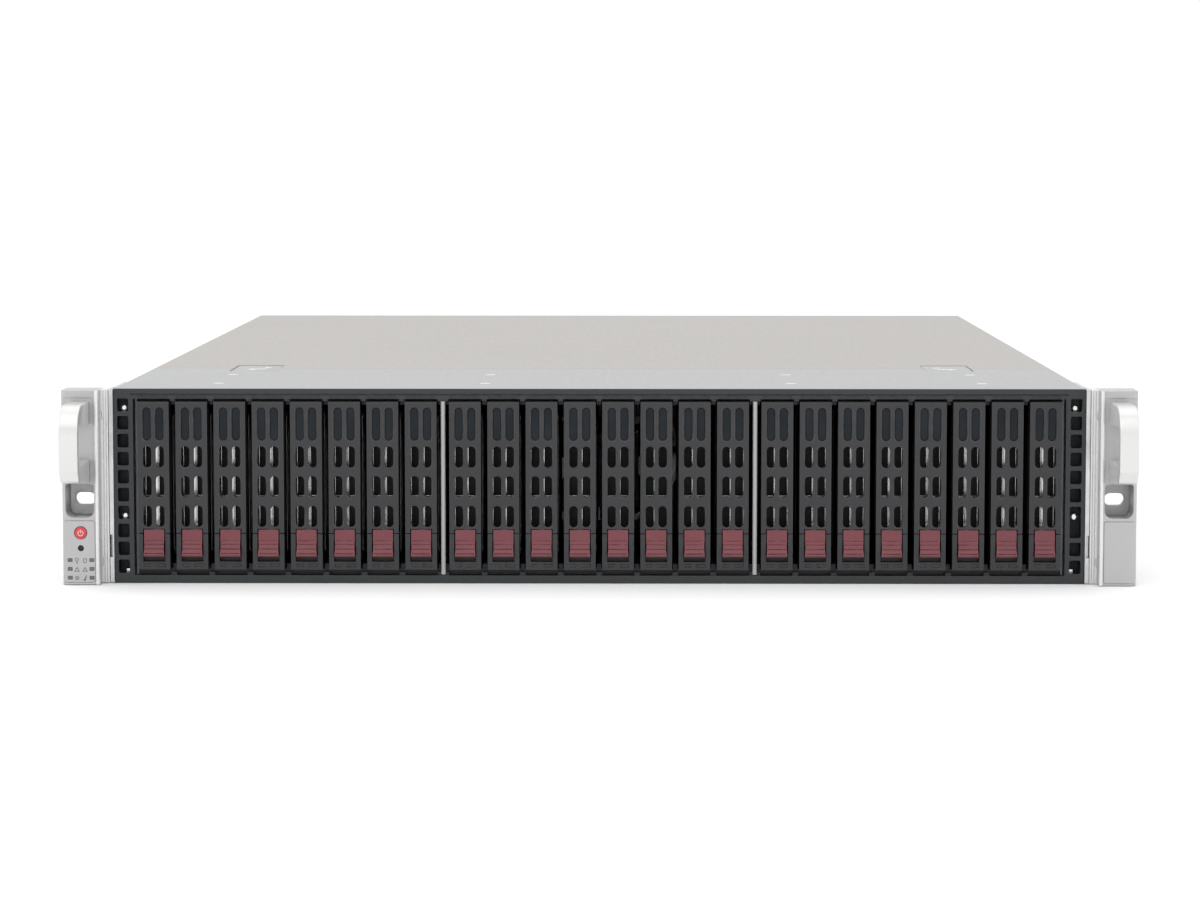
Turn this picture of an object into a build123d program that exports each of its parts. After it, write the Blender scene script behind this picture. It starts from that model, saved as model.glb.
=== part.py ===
from build123d import *
import os
from math import cos, radians, sin

# Two-unit rack shelf with twenty-four slim disk bays. Millimetres, +Z up, the front faces -Y.
# The origin is on the underside, midway across, in the plane where the rack ears meet the rack posts.

# Rack size and body
rack_unit = 44.45
unit_count = 2
rack_clearance = 0.9
rack_width = 482.6
body_depth = 630.0
frame_stand_out = 12.0
ear_reach = 22.8
slot_inset = 8.75
body_width = rack_width - 2 * ear_reach
rack_slot_span = rack_width - 2 * slot_inset
body_height = unit_count * rack_unit - rack_clearance
frame_front = -frame_stand_out
body_back = frame_front + body_depth
half_width = body_width / 2

# Sheet metal and general clearances
wall = 1.2
cover_sheet = 1.0
cage_sheet = 1.0
bracket_sheet = 2.0
board = 1.6
board_stand_off = 12.0
block_inset = 12.0
gap = 0.2
inner_wall = half_width - wall
cover_under = body_height - cover_sheet

# Bay frame
frame_depth = 5.5
frame_lip = 1.2
frame_sill = 3.6
head_height = 4.6
column_width = 8.9
column_hole = 4.6
column_hole_inset = 4.1
column_holes = 10
column_first = 7.6
column_last = 7.23
joined_holes = (2, 3)
tooth_height = 1.0
tooth_depth = 2.5
head_groove = 0.5
head_groove_drop = 2.8
frame_head = body_height - head_height
column_inner = half_width - column_width
column_hole_x = half_width - column_hole_inset
column_pitch = (body_height - column_first - column_last) / (column_holes - 1)
head_groove_z = body_height - head_groove_drop
tooth_front = frame_front + head_groove

# Bays: three banks of eight, with a divider between banks
bank_count = 3
bank_bays = 8
jointed_bays = (1, 9, 17)
carrier_gap = 3.0
divider_gap = 2.7
cage_margin = 0.8
cage_inset = 1.2
cage_half = column_inner - cage_inset
bays_half = cage_half - cage_margin + carrier_gap / 2
bay_pitch = (2 * bays_half - (bank_count - 1) * divider_gap) / (bank_count * bank_bays)
bank_pitch = bank_bays * bay_pitch + divider_gap

# Carrier: bezel, lever, release button and tray
carrier_bottom = 6.3
carrier_headroom = 1.1
face_proud = 1.0
rail_thickness = 2.5
top_rail_thickness = 3.25
carrier_width = bay_pitch - carrier_gap
carrier_face = frame_front - face_proud
carrier_top = frame_head - carrier_headroom
half_carrier = carrier_width / 2

# Disk drive
drive_play = 2.4
drive_gap = 0.2
drive_length = 100.45
drive_thickness = bay_pitch - drive_play
drive_bottom = carrier_bottom + rail_thickness + drive_gap
top_rail_bottom = carrier_top - top_rail_thickness
drive_width = top_rail_bottom - drive_gap - drive_bottom

lever_depth = 6.0
lever_skin = 1.6
lever_base = 22.9
split_gap = 0.4
pin_radius = 0.8
pin_running_gap = 0.08
knuckle_radius = 1.2
knuckle_gap = 0.3
pivot_y = carrier_face + lever_depth / 2
pivot_z = carrier_top - lever_depth / 2
lever_back = carrier_face + lever_depth
lever_hollow = half_carrier - lever_skin
button_margin = 2.5
button_width = carrier_width - 2 * button_margin

vent_rows = 3
vent_width = 3.8
vent_offset = 2.85
vent_first = 30.4
vent_bridge = 3.85
window_width = 3.6
window_height = 14.9
window_drop = 10.15
window_lift = 1.4
window_plate = 0.8
window_middle = carrier_top - window_drop
vent_row_pitch = (window_middle - window_lift - vent_first) / vent_rows
vent_height = vent_row_pitch - vent_bridge

button_base = 12.3
button_top = 24.4
button_flat = 19.0
button_clearance = 0.4
button_travel = 2.0
button_lip = 2.2
button_toe = 0.8
button_toe_back = 0.6
button_ramp = 2.8
button_ramp_lip = 0.8
button_depth = 4.1
button_lean = 0.2
grip_grooves = 3
grip_first = 2.0
grip_pitch = 1.9
grip_groove = 0.5
grip_depth = 0.1

block_depth = 10.0
post_gap = 0.5
block_back = carrier_face + block_depth
post_front = lever_back + post_gap
post_depth = 6.5
post_width = 1.5
drive_front_gap = 0.3
drive_front = post_front + post_depth + drive_front_gap
drive_back = drive_front + drive_length
tray_overhang = 0.8
tray_back = drive_back + tray_overhang
spring_half = 0.8
spring_sheet = 0.5

# Guides, dividers and backplane
guide_clearance = 0.3
guide_sheet = 1.6
rib_clearance = 0.4
rib_height = 2.2
guide_front_gap = 0.5
guide_short = 1.5
guide_front = frame_front + frame_depth + guide_front_gap
guide_back = tray_back - guide_short
deck_top = carrier_bottom - guide_clearance
ceiling_under = carrier_top + guide_clearance
ceiling_top = ceiling_under + guide_sheet
connector_gap = 5.0
backplane_front = drive_back + connector_gap
backplane_thickness = 2.0
backplane_headroom = 6.0
backplane_top = body_height - backplane_headroom
plug_half = 2.8
plug_base = 22.0
plug_headroom = 12.85
plug_entry = 3.5
plug_clearance = 0.4
plug_height = drive_bottom + drive_width - plug_headroom - plug_base
air_slot_margin = 2.4
air_slot_drop = 6.0

# Covers and their latches
seam_y = 125.0
cover_flange = 3.0
cover_flange_margin = 5.0
rear_fold = 2.0
latch_inset = 50.5
latch_opening = 23.0
latch_front = 104.0
latch_back = 148.0
leaf_width = 18.0
leaf_sheet = 1.0
leaf_running_gap = 0.1
bump_length = 8.0
bump_width = 10.0
bump_height = 0.9
bump_slope = 0.6
leaf_root_gap = 0.5
leaf_short = 3.0
leaf_root = guide_back + leaf_root_gap
leaf_end = latch_back - leaf_short
latch_x = half_width - latch_inset

# Cover screws
screw_shank = 1.4
screw_head = 2.7
screw_length = 3.6
screw_clearance = 0.2
flange_width = 22.0
flange_front = 10.0
flange_back = 95.0
divider_screw_reach = 17.6
outer_screw_inset = 43.5
outer_screw_x = half_width - outer_screw_inset
screw_rows = (23.3, 81.4)
boss_half = 3.5

# Rail hooks on the side walls
hook_length = 9.0
hook_height = 8.0
hook_reach = 1.6
hook_rows = (190.0, 310.0, 500.0)

# Pull handles
handle_width = 8.5
handle_lift = 2.0
handle_headroom = 5.2
handle_reach = 33.0
handle_strap = 4.4
handle_leg = 11.0
handle_bow = 2.0
handle_taper = 2.5
handle_corner = 8.0
handle_inner_corner = 4.5
handle_edge = 0.7
handle_base = body_height / 2 + handle_lift
handle_top = body_height - handle_headroom

# Rack ears
ear_depth = 20.0
ear_step = 3.3
ear_step_y = -13.0
ear_edge = 0.4
ear_corner = 2.4
ear_margin = 0.3
ridge_radius = 0.9
scoop_width = 12.4
scoop_base = 30.5
scoop_drop = 0.8
scoop_floor = 2.5
scoop_corner = 2.2
rack_slot_length = 9.2
rack_slot_radius = 2.8
rack_slot_drop = 0.15
bracket_tail = 40.0
ear_inner = half_width + bracket_sheet + gap
ear_step_x = ear_inner + ear_step
ear_outer = rack_width / 2 - ear_edge
ridge_x = ear_step_x + ridge_radius
scoop_top = handle_base - scoop_drop
rack_slot_height = (scoop_base + scoop_top) / 2 - rack_slot_drop

# Ear plates, buttons and lights
plate_inset = 2.0
plate_rim = 0.6
plate_base = 1.1
plate_top = 29.2
plate_sheet = 0.6
plate_corner = 1.2
power_radius = 2.7
power_z = 23.7
power_proud = 0.4
power_travel = 1.0
reset_radius = 1.2
reset_z = 16.7
reset_sunk = 1.0
reset_travel = 0.8
bore_clearance = 0.2
bore_depth = 10.0
light_width = 2.2
light_height = 1.4
light_offset = 4.9
light_base = 2.6
light_pitch = 4.0
light_rows = 3
plate_inner = ear_step_x + plate_inset
plate_outer = ear_outer - plate_rim
control_x = rack_slot_span / 2

# Fans
fan_count = 3
fan_headroom = 7.0
fan_depth = 38.0
fan_side_room = 16.0
fan_wall_y = 160.0
fan_rim = 1.8
fan_corner = 3.0
motor_seat_depth = 4.0
strut_width = 3.0
hub_radius = 17.0
hub_depth = 24.0
hub_gap = 2.0
blade_count = 5
blade_chord = 22.0
blade_sheet = 1.4
blade_tip_gap = 2.2
blade_root_angle = 50.0
blade_tip_angle = 32.0
shaft_radius = 1.5
shaft_running_gap = 0.05
fan_size = cover_under - fan_headroom
fan_pitch = (body_width - 2 * fan_side_room) / fan_count
fan_bore = fan_size / 2 - fan_rim
blade_tip = fan_bore - blade_tip_gap
fan_z = wall + cage_sheet + gap + fan_size / 2
fan_front = fan_wall_y + cage_sheet + gap
fan_back = fan_front + fan_depth

# Power supplies and their cage
psu_width = 54.5
psu_length = 220.0
psu_inset = 8.8
psu_gap = 0.35
psu_headroom = 3.25
psu_stand_out = 0.4
cage_overhang = 10.0
psu_height = (cover_under - psu_headroom - wall - cage_sheet - 3 * psu_gap) / 2
psu_lower_z = wall + psu_gap
psu_upper_z = psu_lower_z + psu_height + cage_sheet + 2 * psu_gap
psu_right = half_width - psu_inset
psu_left = psu_right - psu_width
psu_back = body_back + psu_stand_out
psu_front = psu_back - psu_length
cage_front = psu_front + cage_overhang
inlet_width = 20.0
inlet_room = 13.25
inlet_depth = 15.0
inlet_wall = 2.2
inlet_margin = 1.5
inlet_lip = 1.0
inlet_seat = 0.1
inlet_height = psu_height - inlet_room
grille_slots = 5
grille_slot_width = 2.6
grille_pitch = 4.4
grille_margin = 4.5
grille_depth = 2.0
pull_inset = 25.6
pull_width = 6.0
pull_strap = 3.0
pull_reach = 24.0
pull_margin = 5.0
pull_corner = 5.0
pull_x = psu_left + pull_inset
psu_latch_reach = 12.0
psu_latch_sheet = 2.0
psu_latch_height = 7.5
psu_latch_x = psu_right - inlet_width / 2
psu_latch_inset = 3.0
psu_latch_y = psu_back - psu_latch_inset
psu_latch_z = 2.0
barrel_radius = 2.0
latch_ribs = 3
latch_rib = 0.8
latch_rib_pitch = 2.2

# Boards, ports and rear vents
port_count = 4
port_inset = 31.5
port_pitch = 19.0
port_width = 17.0
port_height = 11.0
port_depth = 26.0
port_wall = 1.2
port_socket = 14.0
port_proud = 1.0
jack_offset = 97.0
jack_width = 16.0
jack_height = 13.5
jack_depth = 21.0
port_first_x = port_inset - half_width
jack_x = port_first_x + jack_offset
board_z = 9.2
board_inset = 13.5
board_width = 165.0
board_length = 173.8
board_left = board_inset - half_width
board_right = board_left + board_width
board_rear_gap = 3.0
board_back = body_back - wall - board_rear_gap
board_front = board_back - board_length
post_across = 5.0
post_inset = 8.0
chip_size = 22.0
chip_height = 2.0
chip_places = ((88.0, 44.0), (110.0, 88.0))
socket_width = 9.0
socket_height = 10.0
socket_depth = 10.0
socket_drop = 12.0
power_socket_width = 18.0
power_socket_inset = 22.5
socket_z = body_height - socket_drop
data_socket_insets = (5.0, 17.0)
power_socket_x = half_width - power_socket_inset
sink_size = 36.0
sink_base = 3.0
sink_height = 14.0
sink_fins = 8
sink_fin = 1.2
vent_base = 36.0
vent_headroom = 9.0
vent_slot = 6.0
vent_slot_pitch = 10.0
vent_margin = 12.0
vent_top = cover_under - vent_headroom


def slab(x, y, z):
    """A box between two limits on each axis."""
    middle = [(low + high) / 2 for low, high in (x, y, z)]
    size = [high - low for low, high in (x, y, z)]
    return Pos(*middle) * Box(*size)


def rod(radius, x, y, z):
    """A round bar along the one axis that is given as a pair of limits."""
    if isinstance(x, tuple):
        plane, length = Plane((x[0], y, z), z_dir=(1, 0, 0)), x[1] - x[0]
    elif isinstance(y, tuple):
        plane, length = Plane((x, y[0], z), z_dir=(0, 1, 0)), y[1] - y[0]
    else:
        plane, length = Plane((x, y, z[0])), z[1] - z[0]
    return extrude(plane * Circle(radius), length)


def opening(width, height, x, z, y):
    """An upright opening about a middle point, as a solid that runs back between two depths."""
    return slab((x - width / 2, x + width / 2), y, (z - height / 2, z + height / 2))


def sided(side, near, far):
    """Two distances from the middle, as rising limits on the left (-1) or the right (1)."""
    return tuple(sorted((side * near, side * far)))


def bank_x(bank):
    """The middle of a bank of bays, counted from 0 at the left."""
    return (bank - (bank_count - 1) / 2) * bank_pitch


def bay_x(bay):
    """The middle of a bay, counted from 1 at the left."""
    bank, place = divmod(bay - 1, bank_bays)
    return bank_x(bank) + (place - (bank_bays - 1) / 2) * bay_pitch


def write(name, *solids):
    """Writes one named node from its separate solids."""
    pieces = [solid for shape in solids for solid in shape.solids()]
    os.makedirs("parts", exist_ok=True)
    export_step(Compound(children=pieces), f"parts/{name}.step")


# Carriers


def make_tray(pinned):
    """The part of a carrier that slides: front block, two rails, two posts and the hinge knuckle."""
    across = (-half_carrier, half_carrier)
    block = slab(across, (carrier_face, block_back), (carrier_bottom, lever_base - split_gap))
    notch_half = button_width / 2 + button_clearance
    notch_base = button_base - button_travel - button_clearance
    notch_back = carrier_face + button_depth + button_clearance
    block -= slab((-notch_half, notch_half), (carrier_face, notch_back), (notch_base, lever_base))
    lower = slab(across, (block_back, tray_back), (carrier_bottom, carrier_bottom + rail_thickness))
    upper = slab(across, (post_front, tray_back), (top_rail_bottom, carrier_top))
    tray = block + lower + upper
    post_back = post_front + post_depth
    for side in (-1, 1):
        post = sided(side, half_carrier - post_width, half_carrier)
        tray += slab(post, (post_front, post_back), (carrier_bottom, carrier_top))
    arm = (knuckle_gap - lever_hollow, lever_hollow - knuckle_gap)
    tray += slab(arm, (pivot_y, post_back), (pivot_z - knuckle_radius, pivot_z))
    if pinned:
        tray += rod(knuckle_radius, arm, pivot_y, pivot_z)
        tray -= rod(pin_radius, arm, pivot_y, pivot_z)
    return tray


def make_pin():
    """The steel pin that the lever swings on."""
    return rod(pin_radius, (gap - half_carrier, half_carrier - gap), pivot_y, pivot_z)


def make_spring():
    """The bright contact strip that stands on the tray's lower rail, just in front of the drive."""
    back = post_front + post_depth - gap
    height = (carrier_bottom + rail_thickness, pivot_z - knuckle_radius)
    return slab((-spring_half, spring_half), (back - spring_sheet, back), height)


def make_lever(pinned):
    """The ventilated face of a carrier, which is also its pull lever, hinged at the top."""
    across = (-half_carrier, half_carrier)
    inside = (-lever_hollow, lever_hollow)
    lever = slab(across, (carrier_face, lever_back), (lever_base, pivot_z))
    lever += rod(lever_depth / 2, across, pivot_y, pivot_z)
    hollow_top = pivot_z + knuckle_radius + knuckle_gap
    lever -= slab(inside, (carrier_face + lever_skin, lever_back), (lever_base, hollow_top))
    lever -= slab(inside, (pivot_y, lever_back), (pivot_z, carrier_top))
    notch_half = button_width / 2 + button_clearance
    notch_top = button_top + button_clearance
    lever -= slab((-notch_half, notch_half), (carrier_face, lever_back), (lever_base, notch_top))
    skin = (carrier_face, carrier_face + lever_skin)
    for x in (-vent_offset, vent_offset):
        lever -= opening(window_width, window_height, x, window_middle, skin)
        for row in range(vent_rows):
            lever -= opening(vent_width, vent_height, x, vent_first + row * vent_row_pitch, skin)
    if pinned:
        lever -= rod(pin_radius + pin_running_gap, across, pivot_y, pivot_z)
    return lever


def make_window():
    """The smoked lens behind a lever's two upper openings."""
    plate_half = vent_offset + window_width / 2
    skin_back = carrier_face + lever_skin
    height = (window_middle - window_height / 2, pivot_z - knuckle_radius - gap)
    return slab((-plate_half, plate_half), (skin_back, skin_back + window_plate), height)


def make_button():
    """The release button: flat above, with a ribbed thumb ramp below."""
    back = carrier_face + button_depth
    toe = carrier_face - button_lip
    heel = (toe + button_toe_back, button_base)
    tip = (toe, button_base + button_toe)
    crest = (carrier_face - button_lean, button_top)
    bend = (carrier_face, button_flat)
    ramp = ThreePointArc(bend, (carrier_face - button_ramp_lip, button_base + button_ramp), tip)
    edges = [
        *Polyline(heel, (back, button_base), (back, button_top), crest).edges(),
        Line(crest, bend),
        ramp,
        Line(tip, heel),
    ]
    button = extrude(Plane.YZ.offset(-button_width / 2) * make_face(edges), button_width)
    for groove in range(grip_grooves):
        z = button_base + grip_first + groove * grip_pitch
        across = (-button_width / 2, button_width / 2)
        button -= slab(across, (toe, carrier_face - grip_depth), (z, z + grip_groove))
    return button


def make_drive():
    """A slim disk drive on its edge, with the pocket that takes its connector."""
    half = drive_thickness / 2
    drive = slab((-half, half), (drive_front, drive_back), (drive_bottom, drive_bottom + drive_width))
    pocket_half = plug_half + plug_clearance
    return drive - slab(
        (-pocket_half, pocket_half),
        (drive_back - plug_entry - plug_clearance, drive_back),
        (plug_base - plug_clearance, plug_base + plug_height + plug_clearance),
    )


def write_carriers():
    """Every carrier slides. The first one of each bank has its lever and button as nodes of their own."""
    held = [make_drive(), make_spring()]
    button = make_button()
    pinned_tray = [make_tray(True), make_pin(), *held]
    pinned_face = [make_lever(True), make_window()]
    whole = [make_tray(False), *held, make_lever(False), make_window(), button]
    for bay in range(1, bank_count * bank_bays + 1):
        place = Pos(bay_x(bay), 0, 0)
        if bay in jointed_bays:
            write(f"carrier_{bay:02d}", *[place * piece for piece in pinned_tray])
            write(f"lever_{bay:02d}", *[place * piece for piece in pinned_face])
            write(f"button_{bay:02d}", place * button)
        else:
            write(f"carrier_{bay:02d}", *[place * piece for piece in whole])


# Bay frame, guides, dividers and backplane


def gap_centres():
    """The middles of the narrow gaps between neighbouring carriers of one bank."""
    places = [(place - bank_bays / 2) * bay_pitch for place in range(1, bank_bays)]
    return [bank_x(bank) + place for bank in range(bank_count) for place in places]


def divider_centres():
    """The middles of the dividers between banks."""
    return [bank_x(bank) + bank_pitch / 2 for bank in range(bank_count - 1)]


def make_bay_frame():
    """The frame round the bays: ladder columns with the sill, and the head between them."""
    mouth = slab((-column_inner, column_inner), (frame_front, 0), (frame_sill, frame_head))
    lip = slab((-half_width, half_width), (frame_front, frame_front + frame_lip), (0, body_height))
    ring = slab(
        (gap - inner_wall, inner_wall - gap),
        (frame_front + frame_lip, frame_front + frame_depth),
        (wall + gap, cover_under - gap),
    )
    frame = lip + ring - mouth
    half_hole = column_hole / 2
    depth = (frame_front, frame_front + frame_depth)
    for side in (-1, 1):
        across = sided(side, column_hole_x - half_hole, column_hole_x + half_hole)
        for row in range(column_holes):
            z = column_first + row * column_pitch
            top = z + half_hole
            if side > 0 and row == joined_holes[0]:
                top += column_pitch
            if side > 0 and row == joined_holes[1]:
                continue
            frame -= slab(across, depth, (z - half_hole, top))
    groove_top = head_groove_z + head_groove
    frame -= slab((-column_inner, column_inner), (frame_front, tooth_front), (head_groove_z, groove_top))
    # The head is a solid of its own, which leaves the levers room under its collision piece
    head_space = slab((-column_inner, column_inner), depth, (frame_head, body_height))
    return frame - head_space, frame & head_space


def make_frame_teeth():
    """The short teeth that hang from the frame's head into the gaps between the carriers."""
    half_tooth = carrier_gap / 2 - rib_clearance
    spots = [(x, half_tooth) for x in gap_centres()]
    spots += [(x, half_tooth + divider_gap / 2) for x in divider_centres()]
    depth, height = (tooth_front, tooth_front + tooth_depth), (frame_head - tooth_height, frame_head)
    return [slab((x - half, x + half), depth, height) for x, half in spots]


def guide_span(bank):
    """The two sides of one bank's guides, which stop at a divider or at the cage's side plate."""
    reach = bank_pitch / 2 - cage_sheet / 2 - gap
    low = bank_x(bank) - reach if bank > 0 else gap - cage_half
    high = bank_x(bank) + reach if bank < bank_count - 1 else cage_half - gap
    return low, high


def bank_ribs(bank, z):
    """The ribs that part one bank's carriers, between two heights."""
    half = carrier_gap / 2 - rib_clearance
    length = (guide_front, guide_back)
    low, high = guide_span(bank)
    edge = (bank_bays - 1) / 2 * bay_pitch + half_carrier + rib_clearance
    middles = [x for x in gap_centres() if low < x < high]
    ribs = [slab((x - half, x + half), length, z) for x in middles]
    if bank > 0:
        ribs.append(slab((low, bank_x(bank) - edge), length, z))
    if bank < bank_count - 1:
        ribs.append(slab((bank_x(bank) + edge, high), length, z))
    return ribs


def make_lower_guide(bank):
    """The deck that one bank of carriers runs on, with its two feet."""
    across = guide_span(bank)
    deck = slab(across, (guide_front, guide_back), (deck_top - guide_sheet, deck_top))
    deck += slab(across, (guide_front, guide_front + guide_sheet), (wall, deck_top))
    deck += slab(across, (guide_back - guide_sheet, guide_back), (wall, deck_top))
    for rib in bank_ribs(bank, (deck_top, deck_top + rib_height)):
        deck += rib
    return deck


def make_upper_guide(bank):
    """The ceiling over one bank of carriers. The outer banks have bosses for the cover's outer screws."""
    low, high = guide_span(bank)
    ceiling = slab((low, high), (guide_front, guide_back), (ceiling_under, ceiling_top))
    for rib in bank_ribs(bank, (ceiling_under - rib_height, ceiling_under)):
        ceiling += rib
    for x, y in cover_screws():
        if low < x < high and abs(x) == outer_screw_x:
            across, along = (x - boss_half, x + boss_half), (y - boss_half, y + boss_half)
            ceiling += slab(across, along, (ceiling_top, cover_under))
            ceiling -= rod(screw_shank + screw_clearance, x, y, (ceiling_under, cover_under))
    return ceiling


def make_divider(x):
    """A steel plate between two banks, with a flange at the top for the cover and one on the floor."""
    left, right = x - cage_sheet / 2, x + cage_sheet / 2
    divider = slab((left, right), (guide_front, guide_back), (wall, cover_under))
    across, along = (left, left + flange_width), (flange_front, flange_back)
    depth = (cover_under - cage_sheet, cover_under)
    divider += slab(across, along, depth) + slab(across, along, (wall, wall + cage_sheet))
    for y in screw_rows:
        divider -= rod(screw_shank + screw_clearance, x + divider_screw_reach, y, depth)
    return divider


def make_cage_side(side):
    """A steel plate beside the outermost carriers."""
    across = sided(side, cage_half, cage_half + cage_sheet)
    return slab(across, (guide_front, backplane_front - gap), (wall, cover_under - gap))


def make_backplane():
    """The board behind the drives, with air slots, one receptacle for each bay and a finned heat sink."""
    half = cage_half - gap
    back = backplane_front + backplane_thickness
    plane = slab((-half, half), (backplane_front, back), (wall + gap, backplane_top))
    slot_half = bay_pitch / 2 - plug_half - air_slot_margin
    height = (plug_base - air_slot_drop, plug_base + plug_height)
    for x in gap_centres():
        plane -= slab((x - slot_half, x + slot_half), (backplane_front, back), height)
    pieces = [plane]
    depth = (drive_back - plug_entry, backplane_front)
    for bay in range(1, bank_count * bank_bays + 1):
        x = bay_x(bay)
        pieces.append(slab((x - plug_half, x + plug_half), depth, (plug_base, plug_base + plug_height)))
    return pieces


# Body shell


def make_base_tray():
    """The folded tray: floor, two side walls and the hooks that hang in the rack's rails."""
    front = frame_front + frame_lip
    tray = slab((-half_width, half_width), (front, body_back), (0, wall))
    height = ((body_height - hook_height) / 2, (body_height + hook_height) / 2)
    for side in (-1, 1):
        tray += slab(sided(side, inner_wall, half_width), (front, body_back), (0, cover_under))
        for y in hook_rows:
            tray += slab(sided(side, half_width, half_width + hook_reach), (y, y + hook_length), height)
    return tray


def rear_openings():
    """The openings in the rear wall for the power supplies, the ports and the jack, as limits in X and Z."""
    base = board_z + board
    places = [(x, port_width, port_height) for x in port_centres()]
    places.append((jack_x, jack_width, jack_height))
    openings = []
    for x, width, height in places:
        half = width / 2 + gap
        openings.append(((x - half, x + half), (base - gap, base + height + gap)))
    supplies = (psu_left - psu_gap, psu_right + psu_gap)
    openings.append((supplies, (psu_lower_z - psu_gap, psu_upper_z + psu_height + psu_gap)))
    return openings


def make_rear_panel():
    """The rear wall, with a row of upright air slots beside the power supplies."""
    y = (body_back - wall, body_back)
    panel = slab((gap - inner_wall, inner_wall - gap), y, (wall, cover_under - gap))
    for x, z in rear_openings():
        panel -= slab(x, y, z)
    left, right = vent_margin - inner_wall, psu_left - vent_margin
    slots = int((right - left) / vent_slot_pitch)
    for slot in range(slots):
        x = left + slot * vent_slot_pitch
        panel -= slab((x, x + vent_slot), y, (vent_base, vent_top))
    return panel


def latch_hole(side, y):
    """The part of a latch's finger opening that lies between two depths."""
    half = latch_opening / 2
    return slab((side * latch_x - half, side * latch_x + half), y, (cover_under, body_height))


def cover_side(side, y):
    """A cover's folded side, which hangs just inside the wall between two depths."""
    outside = inner_wall - gap
    return slab(sided(side, outside - cover_sheet, outside), y, (cover_under - cover_flange, cover_under))


def cover_screws():
    """Where the front cover is screwed down: on the dividers' flanges and on the outer guides."""
    columns = [x + divider_screw_reach for x in divider_centres()] + [-outer_screw_x, outer_screw_x]
    return [(x, y) for x in columns for y in screw_rows]


def make_front_cover():
    """The fixed top plate over the drives, with a countersink for each screw."""
    cover = slab((-half_width, half_width), (frame_front + frame_lip, seam_y), (cover_under, body_height))
    side_front = frame_front + frame_depth + cover_flange_margin
    for side in (-1, 1):
        cover += cover_side(side, (side_front, seam_y - cover_flange_margin))
        cover -= latch_hole(side, (latch_front, seam_y))
    for x, y in cover_screws():
        cover -= screw_cone(x, y, screw_clearance)
    return cover


def screw_cone(x, y, clearance):
    """The head of a flush screw, or its seat in the sheet when a clearance is given."""
    middle = body_height - cover_sheet / 2
    return Pos(x, y, middle) * Cone(screw_shank + clearance, screw_head + clearance, cover_sheet)


def make_rear_cover():
    """The lift-off top plate, with folded sides and a short fold over the rear wall."""
    fold = (body_back + gap, body_back + gap + cover_sheet)
    cover = slab((-half_width, half_width), (seam_y + gap, fold[1]), (cover_under, body_height))
    cover += slab((-half_width, half_width), fold, (cover_under - rear_fold, cover_under))
    for side in (-1, 1):
        cover += cover_side(side, (fan_wall_y + cover_flange_margin, body_back - wall - cover_flange_margin))
        cover -= latch_hole(side, (seam_y, latch_back))
    return cover


def make_latch(side):
    """A leaf that hangs from the front cover. Its bump keeps the rear cover from sliding back."""
    x = side * latch_x
    top = cover_under - leaf_running_gap
    leaf = slab((x - leaf_width / 2, x + leaf_width / 2), (leaf_root, leaf_end), (top - leaf_sheet, top))
    bump_front = seam_y + cover_sheet
    depth = (bump_front, bump_front + bump_length)
    bump = slab((x - bump_width / 2, x + bump_width / 2), depth, (top, top + bump_height))
    return leaf + chamfer(bump.edges().group_by(Axis.Z)[-1], bump_slope)


# Rack ears


def rack_slot():
    """The level slot that takes a rack screw, on the right ear."""
    outline = SlotOverall(rack_slot_length, 2 * rack_slot_radius)
    plane = Plane((rack_slot_span / 2, -ear_depth, rack_slot_height), x_dir=(1, 0, 0), z_dir=(0, -1, 0))
    return extrude(plane * outline, -ear_depth)


def make_ear_housing(bores):
    """The moulded housing of an ear: ridge, scoop round the rack slot, plate seat and button bores."""
    height = (ear_margin, body_height - ear_margin)
    housing = slab((ear_step_x, ear_outer), (-ear_depth, -bracket_sheet), height)
    housing = fillet(housing.edges().filter_by(Axis.Z).group_by(Axis.Y)[0].sort_by(Axis.X)[-1], ear_corner)
    housing += slab((ear_inner, ear_step_x), (ear_step_y, -bracket_sheet), height)
    housing += rod(ridge_radius, ridge_x, -ear_depth, height)
    middle = rack_slot_span / 2
    depth = (-ear_depth, -bracket_sheet - scoop_floor)
    scoop_half = scoop_width / 2
    scoop = slab((middle - scoop_half, middle + scoop_half), depth, (scoop_base, scoop_top))
    housing -= fillet(scoop.edges().filter_by(Axis.Y).group_by(Axis.Z)[0], scoop_corner)
    housing -= rack_slot()
    housing -= plate_shape(0)
    for radius, z in bores:
        housing -= rod(radius + bore_clearance, control_x, (-ear_depth, bore_depth - ear_depth), z)
    return housing


def make_bracket():
    """The steel angle behind an ear: one leg against the side wall, one against the rack post."""
    height = (ear_margin, body_height - ear_margin)
    bracket = slab((half_width, half_width + bracket_sheet), (ear_step_y, bracket_tail), height)
    bracket += slab((half_width, rack_width / 2), (-bracket_sheet, 0), height)
    return bracket - rack_slot()


def make_handle():
    """The pull handle: two deep legs and a bowed strap, with a finger gap between them."""
    root, tip = -ear_depth, -ear_depth - handle_reach
    corner_y, strap_y = tip + handle_bow, tip + handle_strap
    middle = (handle_base + handle_top) / 2
    low, high = handle_base + handle_leg, handle_top - handle_leg
    front_arc = ThreePointArc((corner_y, handle_top), (tip, middle), (corner_y, handle_base))
    back = Polyline((corner_y, handle_base), (root, handle_base), (root, handle_top), (corner_y, handle_top))
    outer = make_face([front_arc, *back.edges()])
    outer = fillet(outer.vertices().group_by(Axis.X)[0], handle_corner)
    grip = Polyline(
        (root, low),
        (strap_y, low - handle_taper),
        (strap_y, high + handle_taper),
        (root, high),
        close=True,
    )
    inner = make_face(grip.edges())
    inner = fillet(inner.vertices().group_by(Axis.X)[0], handle_inner_corner)
    handle = extrude(Plane.YZ.offset(rack_slot_span / 2 - handle_width / 2) * (outer - inner), handle_width)
    rims = handle.faces().filter_by(Axis.X).edges()
    return chamfer(rims.filter_by(lambda edge: edge.center().Y < root - handle_edge), handle_edge)


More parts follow.
